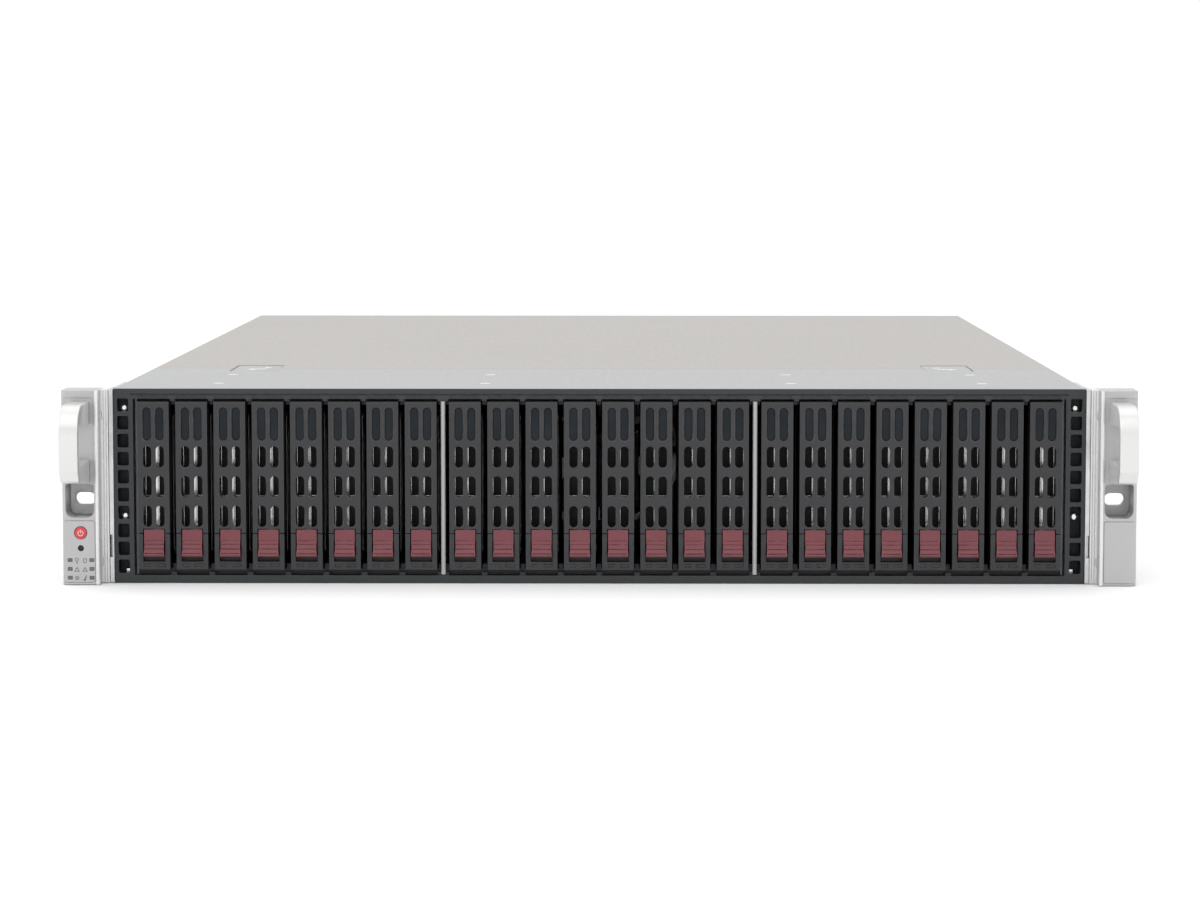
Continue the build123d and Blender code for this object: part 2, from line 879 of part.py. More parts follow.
def make_ear(side):
    """An ear's housing, bracket and handle. They are built for the right, and mirrored for the left."""
    bores = ((power_radius, power_z), (reset_radius, reset_z)) if side < 0 else ()
    ear = [make_ear_housing(bores), make_bracket(), make_handle()]
    return [mirror(piece, Plane.YZ) for piece in ear] if side < 0 else ear


def plate_shape(margin):
    """The right ear's lower plate, smaller than its seat by a margin all round."""
    y = (-ear_depth, plate_sheet - ear_depth)
    plate = slab((plate_inner + margin, plate_outer - margin), y, (plate_base + margin, plate_top - margin))
    return chamfer(plate.edges().filter_by(Axis.Y), plate_corner)


def make_ear_plates():
    """The control plate of the left ear with its six light windows, and the bare plate of the right ear."""
    blank = plate_shape(gap)
    control = mirror(blank, Plane.YZ)
    y = (-ear_depth, plate_sheet - ear_depth)
    for radius, z in ((power_radius, power_z), (reset_radius, reset_z)):
        control -= rod(radius + bore_clearance, -control_x, y, z)
    lights = []
    for offset in (-light_offset, light_offset):
        for row in range(light_rows):
            x, z = offset - control_x, light_base + row * light_pitch
            lights.append(slab((x - light_width / 2, x + light_width / 2), y, (z, z + light_height)))
    for light in lights:
        control -= light
    return [control, blank, *lights]


def make_power_button():
    """The round power button, a little proud of its plate."""
    back = bore_depth - ear_depth - power_travel - gap
    return rod(power_radius, -control_x, (-ear_depth - power_proud, back), power_z)


def make_reset_button():
    """The reset plunger, sunk in its hole."""
    back = bore_depth - ear_depth - reset_travel - gap
    return rod(reset_radius, -control_x, (reset_sunk - ear_depth, back), reset_z)


# Fans


def fan_centres():
    """The middles of the fans, left to right."""
    return [(place - (fan_count - 1) / 2) * fan_pitch for place in range(fan_count)]


def make_fan_wall():
    """The plate in front of the fans, with a foot on the floor that the fans stand on."""
    half = inner_wall - 2 * gap - cover_sheet
    y = (fan_wall_y, fan_wall_y + cage_sheet)
    plate = slab((-half, half), y, (wall, cover_under - gap))
    plate += slab((-half, half), (fan_wall_y, fan_back), (wall, wall + cage_sheet))
    for x in fan_centres():
        plate -= rod(fan_bore, x, y, fan_z)
    return plate


def make_fan_housing(x):
    """A square fan housing with a round bore, four struts and the seat of the motor."""
    half = fan_size / 2
    housing = slab((x - half, x + half), (fan_front, fan_back), (fan_z - half, fan_z + half))
    housing = chamfer(housing.edges().filter_by(Axis.Y), fan_corner)
    housing -= rod(fan_bore, x, (fan_front, fan_back), fan_z)
    seat_y = (fan_back - motor_seat_depth, fan_back)
    strut_half = strut_width / 2
    reach = fan_bore + strut_half
    spokes = slab((x - reach, x + reach), seat_y, (fan_z - strut_half, fan_z + strut_half))
    spokes += slab((x - strut_half, x + strut_half), seat_y, (fan_z - reach, fan_z + reach))
    shaft_hole = rod(shaft_radius + shaft_running_gap, x, seat_y, fan_z)
    return housing + spokes + rod(hub_radius, x, seat_y, fan_z) - shaft_hole


def blade_section(radius, angle):
    """A thin level section of a blade at one radius, pitched by an angle from the fan's axis."""
    plane = Plane((0, 0, radius), x_dir=(sin(radians(angle)), cos(radians(angle)), 0), z_dir=(0, 0, 1))
    return plane * Rectangle(blade_chord, blade_sheet)


def make_rotor(x):
    """The turning part of a fan: hub, shaft and twisted blades."""
    middle = fan_back - motor_seat_depth - hub_gap - hub_depth / 2
    root = blade_section(hub_radius - blade_sheet, blade_root_angle)
    blade = loft([root, blade_section(blade_tip, blade_tip_angle)], ruled=True)
    rotor = rod(hub_radius, 0, (-hub_depth / 2, hub_depth / 2), 0)
    for turn in range(blade_count):
        rotor += Rot(0, 360 / blade_count * turn, 0) * blade
    rotor += rod(shaft_radius, 0, (hub_depth / 2, fan_back - middle), 0)
    return Pos(x, middle, fan_z) * rotor


# Power supplies


def make_psu(z):
    """One power supply: casing with an air grille, mains inlet, pull loop and the pin of its latch."""
    casing = slab((psu_left, psu_right), (psu_front, psu_back), (z, z + psu_height))
    for slot in range(grille_slots):
        x = psu_left + grille_margin + slot * grille_pitch
        height = (z + grille_margin, z + psu_height - grille_margin)
        casing -= slab((x, x + grille_slot_width), (psu_back - grille_depth, psu_back), height)
    casing -= inlet_block(z, 0, inlet_depth, 0)
    casing -= latch_pocket(z)
    inlet = inlet_block(z, inlet_seat, inlet_depth - inlet_seat, inlet_lip)
    inlet -= inlet_block(z, inlet_wall, inlet_depth - inlet_wall, inlet_lip)
    pin = rod(pin_radius, psu_latch_x, psu_latch_y, latch_height(z, gap))
    return [casing, inlet, make_pull(z), pin]


def inlet_block(z, inset, depth, proud):
    """The mains inlet's outline, smaller all round by an inset, from a depth inside to a lip outside."""
    x = (psu_right - inlet_margin - inlet_width + inset, psu_right - inlet_margin - inset)
    top = z + psu_height - inlet_margin
    return slab(x, (psu_back - depth, psu_back + proud), (top - inlet_height + inset, top - inset))


def latch_height(z, margin):
    """The height of a power supply's latch, as limits with a margin at each end."""
    return z + psu_latch_z - margin, z + psu_latch_z + psu_latch_height + margin


def latch_pocket(z):
    """The recess in a power supply's rear face that holds its latch."""
    half = barrel_radius + gap + latch_rib
    x = (psu_latch_x - half, psu_latch_x + half)
    y = (psu_latch_y - barrel_radius - gap, psu_back)
    return slab(x, y, latch_height(z, gap))


def make_psu_latch(z):
    """The thumb latch of a power supply: a barrel on a pin, and a ribbed tab."""
    height = latch_height(z, 0)
    latch = rod(barrel_radius, psu_latch_x, psu_latch_y, height)
    half = psu_latch_sheet / 2
    latch += slab((psu_latch_x - half, psu_latch_x + half), (psu_latch_y, psu_back + psu_latch_reach), height)
    for rib in range(latch_ribs):
        y = psu_back + psu_latch_reach - (rib + 1) * latch_rib_pitch
        latch += slab((psu_latch_x + half, psu_latch_x + half + latch_rib), (y, y + latch_rib), height)
    return latch - rod(pin_radius + pin_running_gap, psu_latch_x, psu_latch_y, height)


def make_pull(z):
    """The upright pull loop on a power supply."""
    low, high = z + pull_margin, z + psu_height - pull_margin
    x = (pull_x, pull_x + pull_width)
    outer = slab(x, (psu_back, psu_back + pull_reach), (low, high))
    outer = fillet(outer.edges().filter_by(Axis.X).group_by(Axis.Y)[-1], pull_corner)
    inner = slab(x, (psu_back, psu_back + pull_reach - pull_strap), (low + pull_strap, high - pull_strap))
    return outer - fillet(inner.edges().filter_by(Axis.X).group_by(Axis.Y)[-1], pull_corner - pull_strap)


def make_psu_cage():
    """The sheet cage round the two power supplies: two sides, a shelf between them and a roof."""
    left, right = psu_left - psu_gap, psu_right + psu_gap
    y = (cage_front, body_back - wall)
    roof = psu_upper_z + psu_height + psu_gap
    shelf = psu_lower_z + psu_height + psu_gap
    cage = slab((left - cage_sheet, left), y, (wall, roof + cage_sheet))
    cage += slab((right, right + cage_sheet), y, (wall, roof + cage_sheet))
    cage += slab((left, right), y, (roof, roof + cage_sheet))
    return cage + slab((left, right), y, (shelf, shelf + cage_sheet))


# Rear boards and ports


def make_power_board():
    """The upright board in front of the power supplies, with one block connector for each."""
    back = psu_front - board_stand_off
    plate = slab((psu_left, psu_right), (back - board, back), (wall, cover_under - cover_flange))
    pieces = [plate]
    across = (psu_left + block_inset, psu_right - block_inset)
    for z in (psu_lower_z, psu_upper_z):
        height = (z + block_inset, z + psu_height - block_inset)
        pieces.append(slab(across, (back, psu_front - gap), height))
    header = (power_socket_x - power_socket_width / 2, power_socket_x + power_socket_width / 2)
    pieces.append(slab(header, (back - board - socket_depth, back - board), socket_limits()))
    return pieces


def socket_limits():
    """The height of the cable sockets on the backplane and on the power board."""
    return socket_z - socket_height, socket_z


def data_sockets():
    """The middles of the data cables' sockets, on the backplane and on the control board alike."""
    return [board_left + inset for inset in data_socket_insets]


def make_plane_sockets():
    """The cable sockets on the back of the backplane."""
    back = backplane_front + backplane_thickness
    y = (back, back + socket_depth)
    places = [(x, socket_width) for x in data_sockets()] + [(power_socket_x, power_socket_width)]
    return [slab((x - width / 2, x + width / 2), y, socket_limits()) for x, width in places]


def sink_fin_starts(start):
    """Where each fin of a heat sink starts, counted from one side of it."""
    return [start + fin * (sink_size - sink_fin) / (sink_fins - 1) for fin in range(sink_fins)]


def make_plane_sink():
    """The finned heat sink on the back of the backplane."""
    back = backplane_front + backplane_thickness
    z = (plug_base, plug_base + sink_size)
    sink = slab((-sink_size / 2, sink_size / 2), (back, back + sink_base), z)
    for x in sink_fin_starts(-sink_size / 2):
        sink += slab((x, x + sink_fin), (back, back + sink_height), z)
    return sink


def make_board_sink():
    """The finned heat sink on the control board."""
    left, front, top = board_left + sink_size, board_front + sink_size, board_z + board
    y = (front, front + sink_size)
    sink = slab((left, left + sink_size), y, (top, top + sink_base))
    for x in sink_fin_starts(left):
        sink += slab((x, x + sink_fin), y, (top, top + sink_height))
    return sink


def make_control_board():
    """The level board at the rear left, on four hexagonal posts, with chips, a heat sink and two sockets."""
    top = board_z + board
    plate = slab((board_left, board_right), (board_front, board_back), (board_z, top))
    pieces = [plate, make_board_sink()]
    for x in (board_left + post_inset, board_right - post_inset):
        for y in (board_front + post_inset, board_back - 2 * post_inset):
            post = Plane((x, y, wall)) * RegularPolygon(post_across / 2, 6, major_radius=False)
            pieces.append(extrude(post, board_z - wall))
    for across, along in chip_places:
        x, y = board_left + across, board_front + along
        pieces.append(slab((x, x + chip_size), (y, y + chip_size), (top, top + chip_height)))
    for x in data_sockets():
        across = (x - socket_width / 2, x + socket_width / 2)
        pieces.append(slab(across, (board_front, board_front + socket_depth), (top, top + socket_height)))
    return pieces


def port_centres():
    """The middles of the data ports, left to right."""
    return [port_first_x + port * port_pitch for port in range(port_count)]


def make_ports():
    """The shielded data ports and one network jack, each with an open socket."""
    base = board_z + board
    back = body_back + port_proud
    places = [(x, port_width, port_height, port_depth) for x in port_centres()]
    places.append((jack_x, jack_width, jack_height, jack_depth))
    ports = []
    for x, width, height, depth in places:
        shell = slab((x - width / 2, x + width / 2), (back - depth, back), (base, base + height))
        half = width / 2 - port_wall
        inside = (base + port_wall, base + height - port_wall)
        shell -= slab((x - half, x + half), (back - port_socket, back), inside)
        ports.append(shell)
    return ports


# Fasteners


def make_screws():
    """The flush screws that hold the front cover."""
    shank = (body_height - screw_length, cover_under)
    return [screw_cone(x, y, 0) + rod(screw_shank, x, y, shank) for x, y in cover_screws()]


def write_body():
    """Writes the fixed nodes of the shell, the bays and the inside."""
    banks = range(bank_count)
    write("base_tray", make_base_tray())
    write("rear_panel", make_rear_panel())
    write("front_cover", make_front_cover())
    write("bay_frame", *make_bay_frame())
    write("frame_teeth", *make_frame_teeth())
    write("drive_guides", *[make_lower_guide(b) for b in banks], *[make_upper_guide(b) for b in banks])
    write("cage_plates", *[make_divider(x) for x in divider_centres()], make_cage_side(-1), make_cage_side(1))
    write("backplane", *make_backplane(), *make_plane_sockets(), make_plane_sink())
    write("fan_wall", make_fan_wall())
    write("fan_housings", *[make_fan_housing(x) for x in fan_centres()])
    write("psu_cage", make_psu_cage())
    write("power_board", *make_power_board())
    write("control_board", *make_control_board())
    write("rear_ports", *make_ports())
    write("left_ear", *make_ear(-1))
    write("right_ear", *make_ear(1))
    write("ear_plates", *make_ear_plates())
    write("cover_screws", *make_screws())


def write_moving():
    """Writes the nodes that move, apart from the carriers."""
    write("rear_cover", make_rear_cover())
    write("cover_latch_left", make_latch(-1))
    write("cover_latch_right", make_latch(1))
    for number, x in enumerate(fan_centres(), 1):
        write(f"fan_rotor_{number}", make_rotor(x))
    for place, z in (("lower", psu_lower_z), ("upper", psu_upper_z)):
        write(f"psu_{place}", *make_psu(z))
        write(f"psu_latch_{place}", make_psu_latch(z))
    write("power_button", make_power_button())
    write("reset_button", make_reset_button())


write_carriers()
write_body()
write_moving()
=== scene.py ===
import math

import bmesh
import bpy
from bpy.props import FloatProperty, FloatVectorProperty, PointerProperty
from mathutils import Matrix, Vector


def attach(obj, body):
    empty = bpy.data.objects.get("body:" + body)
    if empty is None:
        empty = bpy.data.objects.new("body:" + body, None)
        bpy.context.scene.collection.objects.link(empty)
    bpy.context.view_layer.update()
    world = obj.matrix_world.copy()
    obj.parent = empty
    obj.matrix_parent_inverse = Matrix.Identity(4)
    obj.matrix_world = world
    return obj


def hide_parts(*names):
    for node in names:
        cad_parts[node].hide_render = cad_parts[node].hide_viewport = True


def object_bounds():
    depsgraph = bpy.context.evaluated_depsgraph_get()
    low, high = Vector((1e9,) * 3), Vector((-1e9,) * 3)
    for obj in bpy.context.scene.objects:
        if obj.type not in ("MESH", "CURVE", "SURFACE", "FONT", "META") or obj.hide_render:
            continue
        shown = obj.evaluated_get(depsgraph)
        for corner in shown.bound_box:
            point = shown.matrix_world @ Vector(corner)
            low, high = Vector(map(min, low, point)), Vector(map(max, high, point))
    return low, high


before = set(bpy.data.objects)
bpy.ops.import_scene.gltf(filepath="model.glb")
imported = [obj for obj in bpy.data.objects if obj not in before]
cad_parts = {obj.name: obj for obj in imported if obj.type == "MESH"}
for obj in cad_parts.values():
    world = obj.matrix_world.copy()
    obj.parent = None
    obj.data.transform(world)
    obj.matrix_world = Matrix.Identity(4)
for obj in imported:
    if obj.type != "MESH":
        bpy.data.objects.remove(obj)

bl_info = {
    "name": "Disk shelf dressing",
    "version": (1, 0, 0),
    "blender": (4, 5, 0),
    "location": "3D View > Sidebar > Shelf",
    "description": "Builds the visible pieces and finishes of a two-unit disk shelf around its packed frame",
    "category": "Add Mesh",
}

# The whole solid model's box, before any piece is added
CAD_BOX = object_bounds()
MM = 0.001
X, Y, Z = 0, 1, 2

# Sizes and places in millimetres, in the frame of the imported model. Bays and what fills them
BANK_COUNT = 3
BANK_BAYS = 8
BAY_PITCH = 17.2
BANK_PITCH = 140.3
JOINTED_BAYS = (1, 9, 17)
FACE_Y = -13.0
HALF_FACE = 7.1
CARRIER_LOW = 6.3
CARRIER_TOP = 82.3
BLOCK_TOP = 22.5
LEVER_LOW = 22.9
HALF_BUTTON = 4.5
BUTTON_Z = (12.3, 24.4)
BUTTON_ROOM = 5.0
PIN_Y, PIN_Z = -10.0, 79.3
RAIL_END = 101.55
STRIP_Z = (8.8, 78.1)
VENT_X = 2.85
VENT_ROWS = (30.4, 43.85, 57.3)
VENT_SIZE = (3.8, 9.6)
WINDOW_Z = 72.15
WINDOW_SIZE = (3.6, 14.9)

# Body, bay frame, ears and covers
HALF_BODY = 218.5
BODY_TOP = 88.0
FRAME_Y = (-12.0, -6.5)
LIP_BACK = -10.8
COLUMN_INNER = 209.6
SILL_TOP = 3.6
HEAD_LOW = 83.4
HOLE_ACROSS = (211.7, 216.8)
HOLE_ROWS = 10
HOLE_FIRST_Z = 7.6
HOLE_PITCH = 8.13
HALF_HOLE = 3.1
TOOTH_Y = (-11.5, -9.0)
TOOTH_Z = (82.45, 83.6)
STUB_Y = (-10.2, -7.2)
STUB_Z = (3.4, 4.9)
EAR_FRONT = -20.0
EAR_Z = (0.3, 87.7)
PLATE_FRONT = -19.4
CONTROL_X = 232.55
POWER_RADIUS, POWER_Z = 2.7, 23.7
RESET_RADIUS, RESET_Z = 1.2, 16.7
HOLLOW_Y = (-21.0, -19.0)
SHEET_LOW = 87.0
LATCH_X = 168.0
WELL_Y = (100.6, 150.6)
SCREW_COLUMNS = (-175.0, -52.55, 87.75, 175.0)
SCREW_ROWS = (23.3, 81.4)


# Selection and shaping


def clear():
    """Leaves edit mode with nothing selected."""
    if bpy.context.object is not None and bpy.context.object.mode != "OBJECT":
        bpy.ops.object.mode_set(mode="OBJECT")
    bpy.ops.object.select_all(action="DESELECT")


def select(*pieces):
    """Selects just these pieces. The last one is the active one."""
    clear()
    for piece in pieces:
        piece.select_set(True)
    bpy.context.view_layer.objects.active = pieces[-1]


def settle(piece):
    """Moves a piece's place, turn and size into its mesh."""
    select(piece)
    bpy.ops.object.transform_apply(location=True, rotation=True, scale=True)
    return piece


def box(name, x, y, z):
    """A block between two limits on each axis, in millimetres."""
    clear()
    middle = [(low + high) / 2 * MM for low, high in (x, y, z)]
    size = [(high - low) * MM for low, high in (x, y, z)]
    bpy.ops.mesh.primitive_cube_add(size=1, location=middle, scale=size)
    bpy.context.object.name = name
    return settle(bpy.context.object)


def bar(name, radius, x, y, z, sides=32, tip=None):
    """A round bar, or a cone, along the one axis that is given as a pair of limits."""
    clear()
    axis = [isinstance(value, tuple) for value in (x, y, z)].index(True)
    low, high = (x, y, z)[axis]
    middle = [(sum(value) / 2 if isinstance(value, tuple) else value) * MM for value in (x, y, z)]
    turn = [(0, math.pi / 2, 0), (-math.pi / 2, 0, 0), (0, 0, 0)][axis]
    bpy.ops.mesh.primitive_cone_add(
        vertices=sides,
        radius1=radius * MM,
        radius2=(radius if tip is None else tip) * MM,
        depth=(high - low) * MM,
        location=middle,
        rotation=turn,
    )
    bpy.context.object.name = name
    return settle(bpy.context.object)


def pick(piece, kind, test):
    """Enters edit mode with just the faces, edges or points selected that pass a test."""
    select(piece)
    bpy.ops.object.mode_set(mode="EDIT")
    bpy.ops.mesh.select_mode(type=kind)
    bpy.ops.mesh.select_all(action="DESELECT")
    mesh = bmesh.from_edit_mesh(piece.data)
    items = {"FACE": mesh.faces, "EDGE": mesh.edges, "VERT": mesh.verts}[kind]
    for item in items:
        if test(item):
            item.select_set(True)
    mesh.select_flush_mode()
    bmesh.update_edit_mesh(piece.data)


def runs_along(edge, axis):
    """True for an edge that runs along an axis."""
    run = edge.verts[1].co - edge.verts[0].co
    return abs(run[axis]) > 0.999 * run.length


def middle_of(edge):
    """An edge's middle, in millimetres."""
    return (edge.verts[0].co + edge.verts[1].co) / 2 / MM


def bevel_picked(piece, radius, segments):
    """Rounds the picked edges of a piece and leaves edit mode."""
    bpy.ops.mesh.bevel(offset=radius * MM, segments=segments, affect="EDGES", clamp_overlap=True)
    clear()
    return piece


def round_edges(piece, axis, radius, segments=5, where=None):
    """Rounds the edges that run along an axis, all of them or those whose middle passes a test."""
    pick(piece, "EDGE", lambda edge: runs_along(edge, axis) and (where is None or where(middle_of(edge))))
    return bevel_picked(piece, radius, segments)


def dome_front(piece, radius):
    """Rounds the rim at the front end of a bar into a dome."""
    front = min(point.co.y for point in piece.data.vertices)
    pick(piece, "EDGE", lambda edge: all(abs(point.co.y - front) < 0.01 * MM for point in edge.verts))
    return bevel_picked(piece, radius, 5)


def rounded(name, x, y, z, axis, radius, segments=5):
    """A block whose four edges along one axis are rounded."""
    return round_edges(box(name, x, y, z), axis, radius, segments)


def sink(piece, axis, sign, rim, depth, where=None):
    """Insets the faces that look along an axis, and moves the inner face in by a depth."""
    def facing(face):
        return face.normal[axis] * sign > 0.99 and (where is None or where(face.calc_center_median() / MM))
    pick(piece, "FACE", facing)
    bpy.ops.mesh.inset(thickness=rim * MM, depth=-depth * MM)
    clear()
    return piece


def slice_level(piece, heights):
    """Cuts level rings of edges round a piece at some heights, in millimetres."""
    for height in heights:
        pick(piece, "FACE", lambda face: True)
        bpy.ops.mesh.bisect(plane_co=(0, 0, height * MM), plane_no=(0, 0, 1))
    clear()
    return piece


def shift_points(piece, test, shift):
    """Moves the points that pass a test, both in millimetres."""
    pick(piece, "VERT", lambda point: test(point.co / MM))
    bpy.ops.transform.translate(value=[value * MM for value in shift])
    clear()
    return piece


def join(name, *pieces):
    """Joins pieces into one mesh."""
    select(*pieces)
    if len(pieces) > 1:
        bpy.ops.object.join()
    bpy.context.object.name = name
    return bpy.context.object


def cut(piece, *cutters, way="DIFFERENCE"):
    """Cuts the space of the cutters out of a piece, or keeps just what they share."""
    cutter = join("cutter", *cutters)
    cutting = piece.modifiers.new("cut", "BOOLEAN")
    cutting.operation = way
    cutting.solver = "EXACT"
    cutting.object = cutter
    select(piece)
    bpy.ops.object.modifier_apply(modifier=cutting.name)
    bpy.data.objects.remove(cutter)
    return piece


def soften(piece, width, segments=2, angle=40):
    """Rounds a piece's sharp edges a little and shades it smoothly."""
    rounding = piece.modifiers.new("soft_edges", "BEVEL")
    rounding.width = width * MM
    rounding.segments = segments
    rounding.limit_method = "ANGLE"
    rounding.angle_limit = math.radians(angle)
    select(piece)
    bpy.ops.object.modifier_apply(modifier=rounding.name)
    bpy.ops.object.shade_smooth_by_angle(angle=math.radians(38))
    evening = piece.modifiers.new("even_shading", "WEIGHTED_NORMAL")
    evening.keep_sharp = True
    bpy.ops.object.modifier_apply(modifier=evening.name)
    return piece


def copies(pieces, shift):
    """Copies pieces with meshes of their own, moved by a shift in millimetres."""
    select(*pieces)
    bpy.ops.object.duplicate(linked=False)
    bpy.ops.transform.translate(value=[value * MM for value in shift])
    bpy.ops.object.transform_apply(location=True, rotation=True, scale=True)
    return sorted(bpy.context.selected_objects, key=lambda piece: piece.name)


def row_of(name, piece, shifts):
    """One mesh of a piece at its own place and at each shift from it."""
    made = [piece]
    for shift in shifts:
        made += copies([piece], shift)
    return join(name, *made)


def flipped(piece, value, middle):
    """Mirrors a piece about a point, with its faces looking outward."""
    select(piece)
    bpy.ops.transform.resize(value=value, center_override=middle)
    bpy.ops.object.transform_apply(location=True, rotation=True, scale=True)
    pick(piece, "FACE", lambda face: True)
    bpy.ops.mesh.normals_make_consistent(inside=False)
    clear()
    return piece


def mirrored(piece, name):
    """A copy of a piece on the other side of the middle."""
    twin = flipped(copies([piece], (0, 0, 0))[0], (-1, 1, 1), (0, 0, 0))
    twin.name = name
    return twin


def place(piece, look, body, slot, *nodes):
    """Gives a piece the finish of a name and the body that it rides on, and hides the nodes that it stands
    for.
    """
    piece.data.materials.clear()
    piece.data.materials.append(finish(look))
    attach(piece, body)
    if nodes:
        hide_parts(*nodes)
    return piece


# Places that repeat


def bank_middle(bank):
    """The middle of a bank of bays, counted from 0 at the left."""
    return (bank - (BANK_COUNT - 1) / 2) * BANK_PITCH


def bay_middle(bay):
    """The middle of a bay, counted from 1 at the left."""
    bank, spot = divmod(bay - 1, BANK_BAYS)
    return bank_middle(bank) + (spot - (BANK_BAYS - 1) / 2) * BAY_PITCH


def gap_middles():
    """The middles of the gaps between neighbouring carriers, without those at the dividers."""
    return [
        bank_middle(bank) + (spot - BANK_BAYS / 2) * BAY_PITCH
        for bank in range(BANK_COUNT)
        for spot in range(1, BANK_BAYS)
    ]


def divider_middles():
    """The middles of the dividers between neighbouring banks."""
    return [bank_middle(bank) + BANK_PITCH / 2 for bank in range(BANK_COUNT - 1)]


def beside(side, near, far):
    """The limits across of a piece that lies between two distances, at the left (-1) or the right (1)."""
    return tuple(sorted((side * near, side * far)))


# Shared effects for the finishes


def add(tree, kind, values, **traits):
    """A shader node with traits of its own and values at its inputs."""
    node = tree.nodes.new(f"ShaderNode{kind}")
    for name, value in traits.items():
        setattr(node, name, value)
    for label, value in values.items():
        node.inputs[label].default_value = value
    return node


def wire(tree, *links):
    """Links nodes, each link given as a node, its output, the next node and its input."""
    for source, output, target, entry in links:
        tree.links.new(source.outputs[output], target.inputs[entry])


def new_group(name, inputs, outputs):
    """A node group with named inputs and outputs, its input node and its output node."""
    tree = bpy.data.node_groups.new(name, "ShaderNodeTree")
    for label, value in inputs.items():
        kind = "NodeSocketVector" if isinstance(value, tuple) else "NodeSocketFloat"
        tree.interface.new_socket(label, in_out="INPUT", socket_type=kind).default_value = value
    for label, kind in outputs.items():
        tree.interface.new_socket(label, in_out="OUTPUT", socket_type=kind)
    return tree, tree.nodes.new("NodeGroupInput"), tree.nodes.new("NodeGroupOutput")


def grain_group():
    """Noise that can be stretched, for moulded grain, brushed lines and broad shade."""
    name = "Stretched grain"
    if name in bpy.data.node_groups:
        return bpy.data.node_groups[name]
    inputs = {"Scale": 100.0, "Stretch": (1.0, 1.0, 1.0), "Detail": 3.0}
    tree, given, out = new_group(name, inputs, {"Mask": "NodeSocketFloat"})
    place_of = add(tree, "TexCoord", {})
    mapping = add(tree, "Mapping", {})
    noise = add(tree, "TexNoise", {})
    spread = add(tree, "MapRange", {"From Min": 0.3, "From Max": 0.7})
    wire(
        tree,
        (place_of, "Object", mapping, "Vector"),
        (given, "Stretch", mapping, "Scale"),
        (mapping, "Vector", noise, "Vector"),
        (given, "Scale", noise, "Scale"),
        (given, "Detail", noise, "Detail"),
        (noise, "Fac", spread, "Value"),
        (spread, "Result", out, "Mask"),
    )
    return tree


def edge_group():
    """Rounded normals near sharp edges, and a broken mask of the wear along them."""
    name = "Worn edges"
    if name in bpy.data.node_groups:
        return bpy.data.node_groups[name]
    outputs = {"Mask": "NodeSocketFloat", "Normal": "NodeSocketVector"}
    tree, given, out = new_group(name, {"Radius": 0.0004, "Amount": 1.0}, outputs)
    rounding = add(tree, "Bevel", {}, samples=4)
    shape = add(tree, "NewGeometry", {})
    likeness = add(tree, "VectorMath", {}, operation="DOT_PRODUCT")
    wear = add(tree, "MapRange", {"From Min": 0.995, "From Max": 0.86})
    broken = add(tree, "Group", {"Scale": 260.0}, node_tree=grain_group())
    patch = add(tree, "Math", {}, operation="MULTIPLY")
    amount = add(tree, "Math", {}, operation="MULTIPLY")
    wire(
        tree,
        (given, "Radius", rounding, "Radius"),
        (rounding, "Normal", likeness, 0),
        (shape, "Normal", likeness, 1),
        (likeness, "Value", wear, "Value"),
        (wear, "Result", patch, 0),
        (broken, "Mask", patch, 1),
        (patch, "Value", amount, 0),
        (given, "Amount", amount, 1),
        (amount, "Value", out, "Mask"),
        (rounding, "Normal", out, "Normal"),
    )
    return tree


EVEN = (1, 1, 1)
USUAL = dict(
    metallic=0.0, rough=(0.4, 0.55), grain=(900.0, EVEN, 0.00002), broad=9.0, edge=0.0004, wear=0.5,
    coat=0.0, shine=0.5,
)

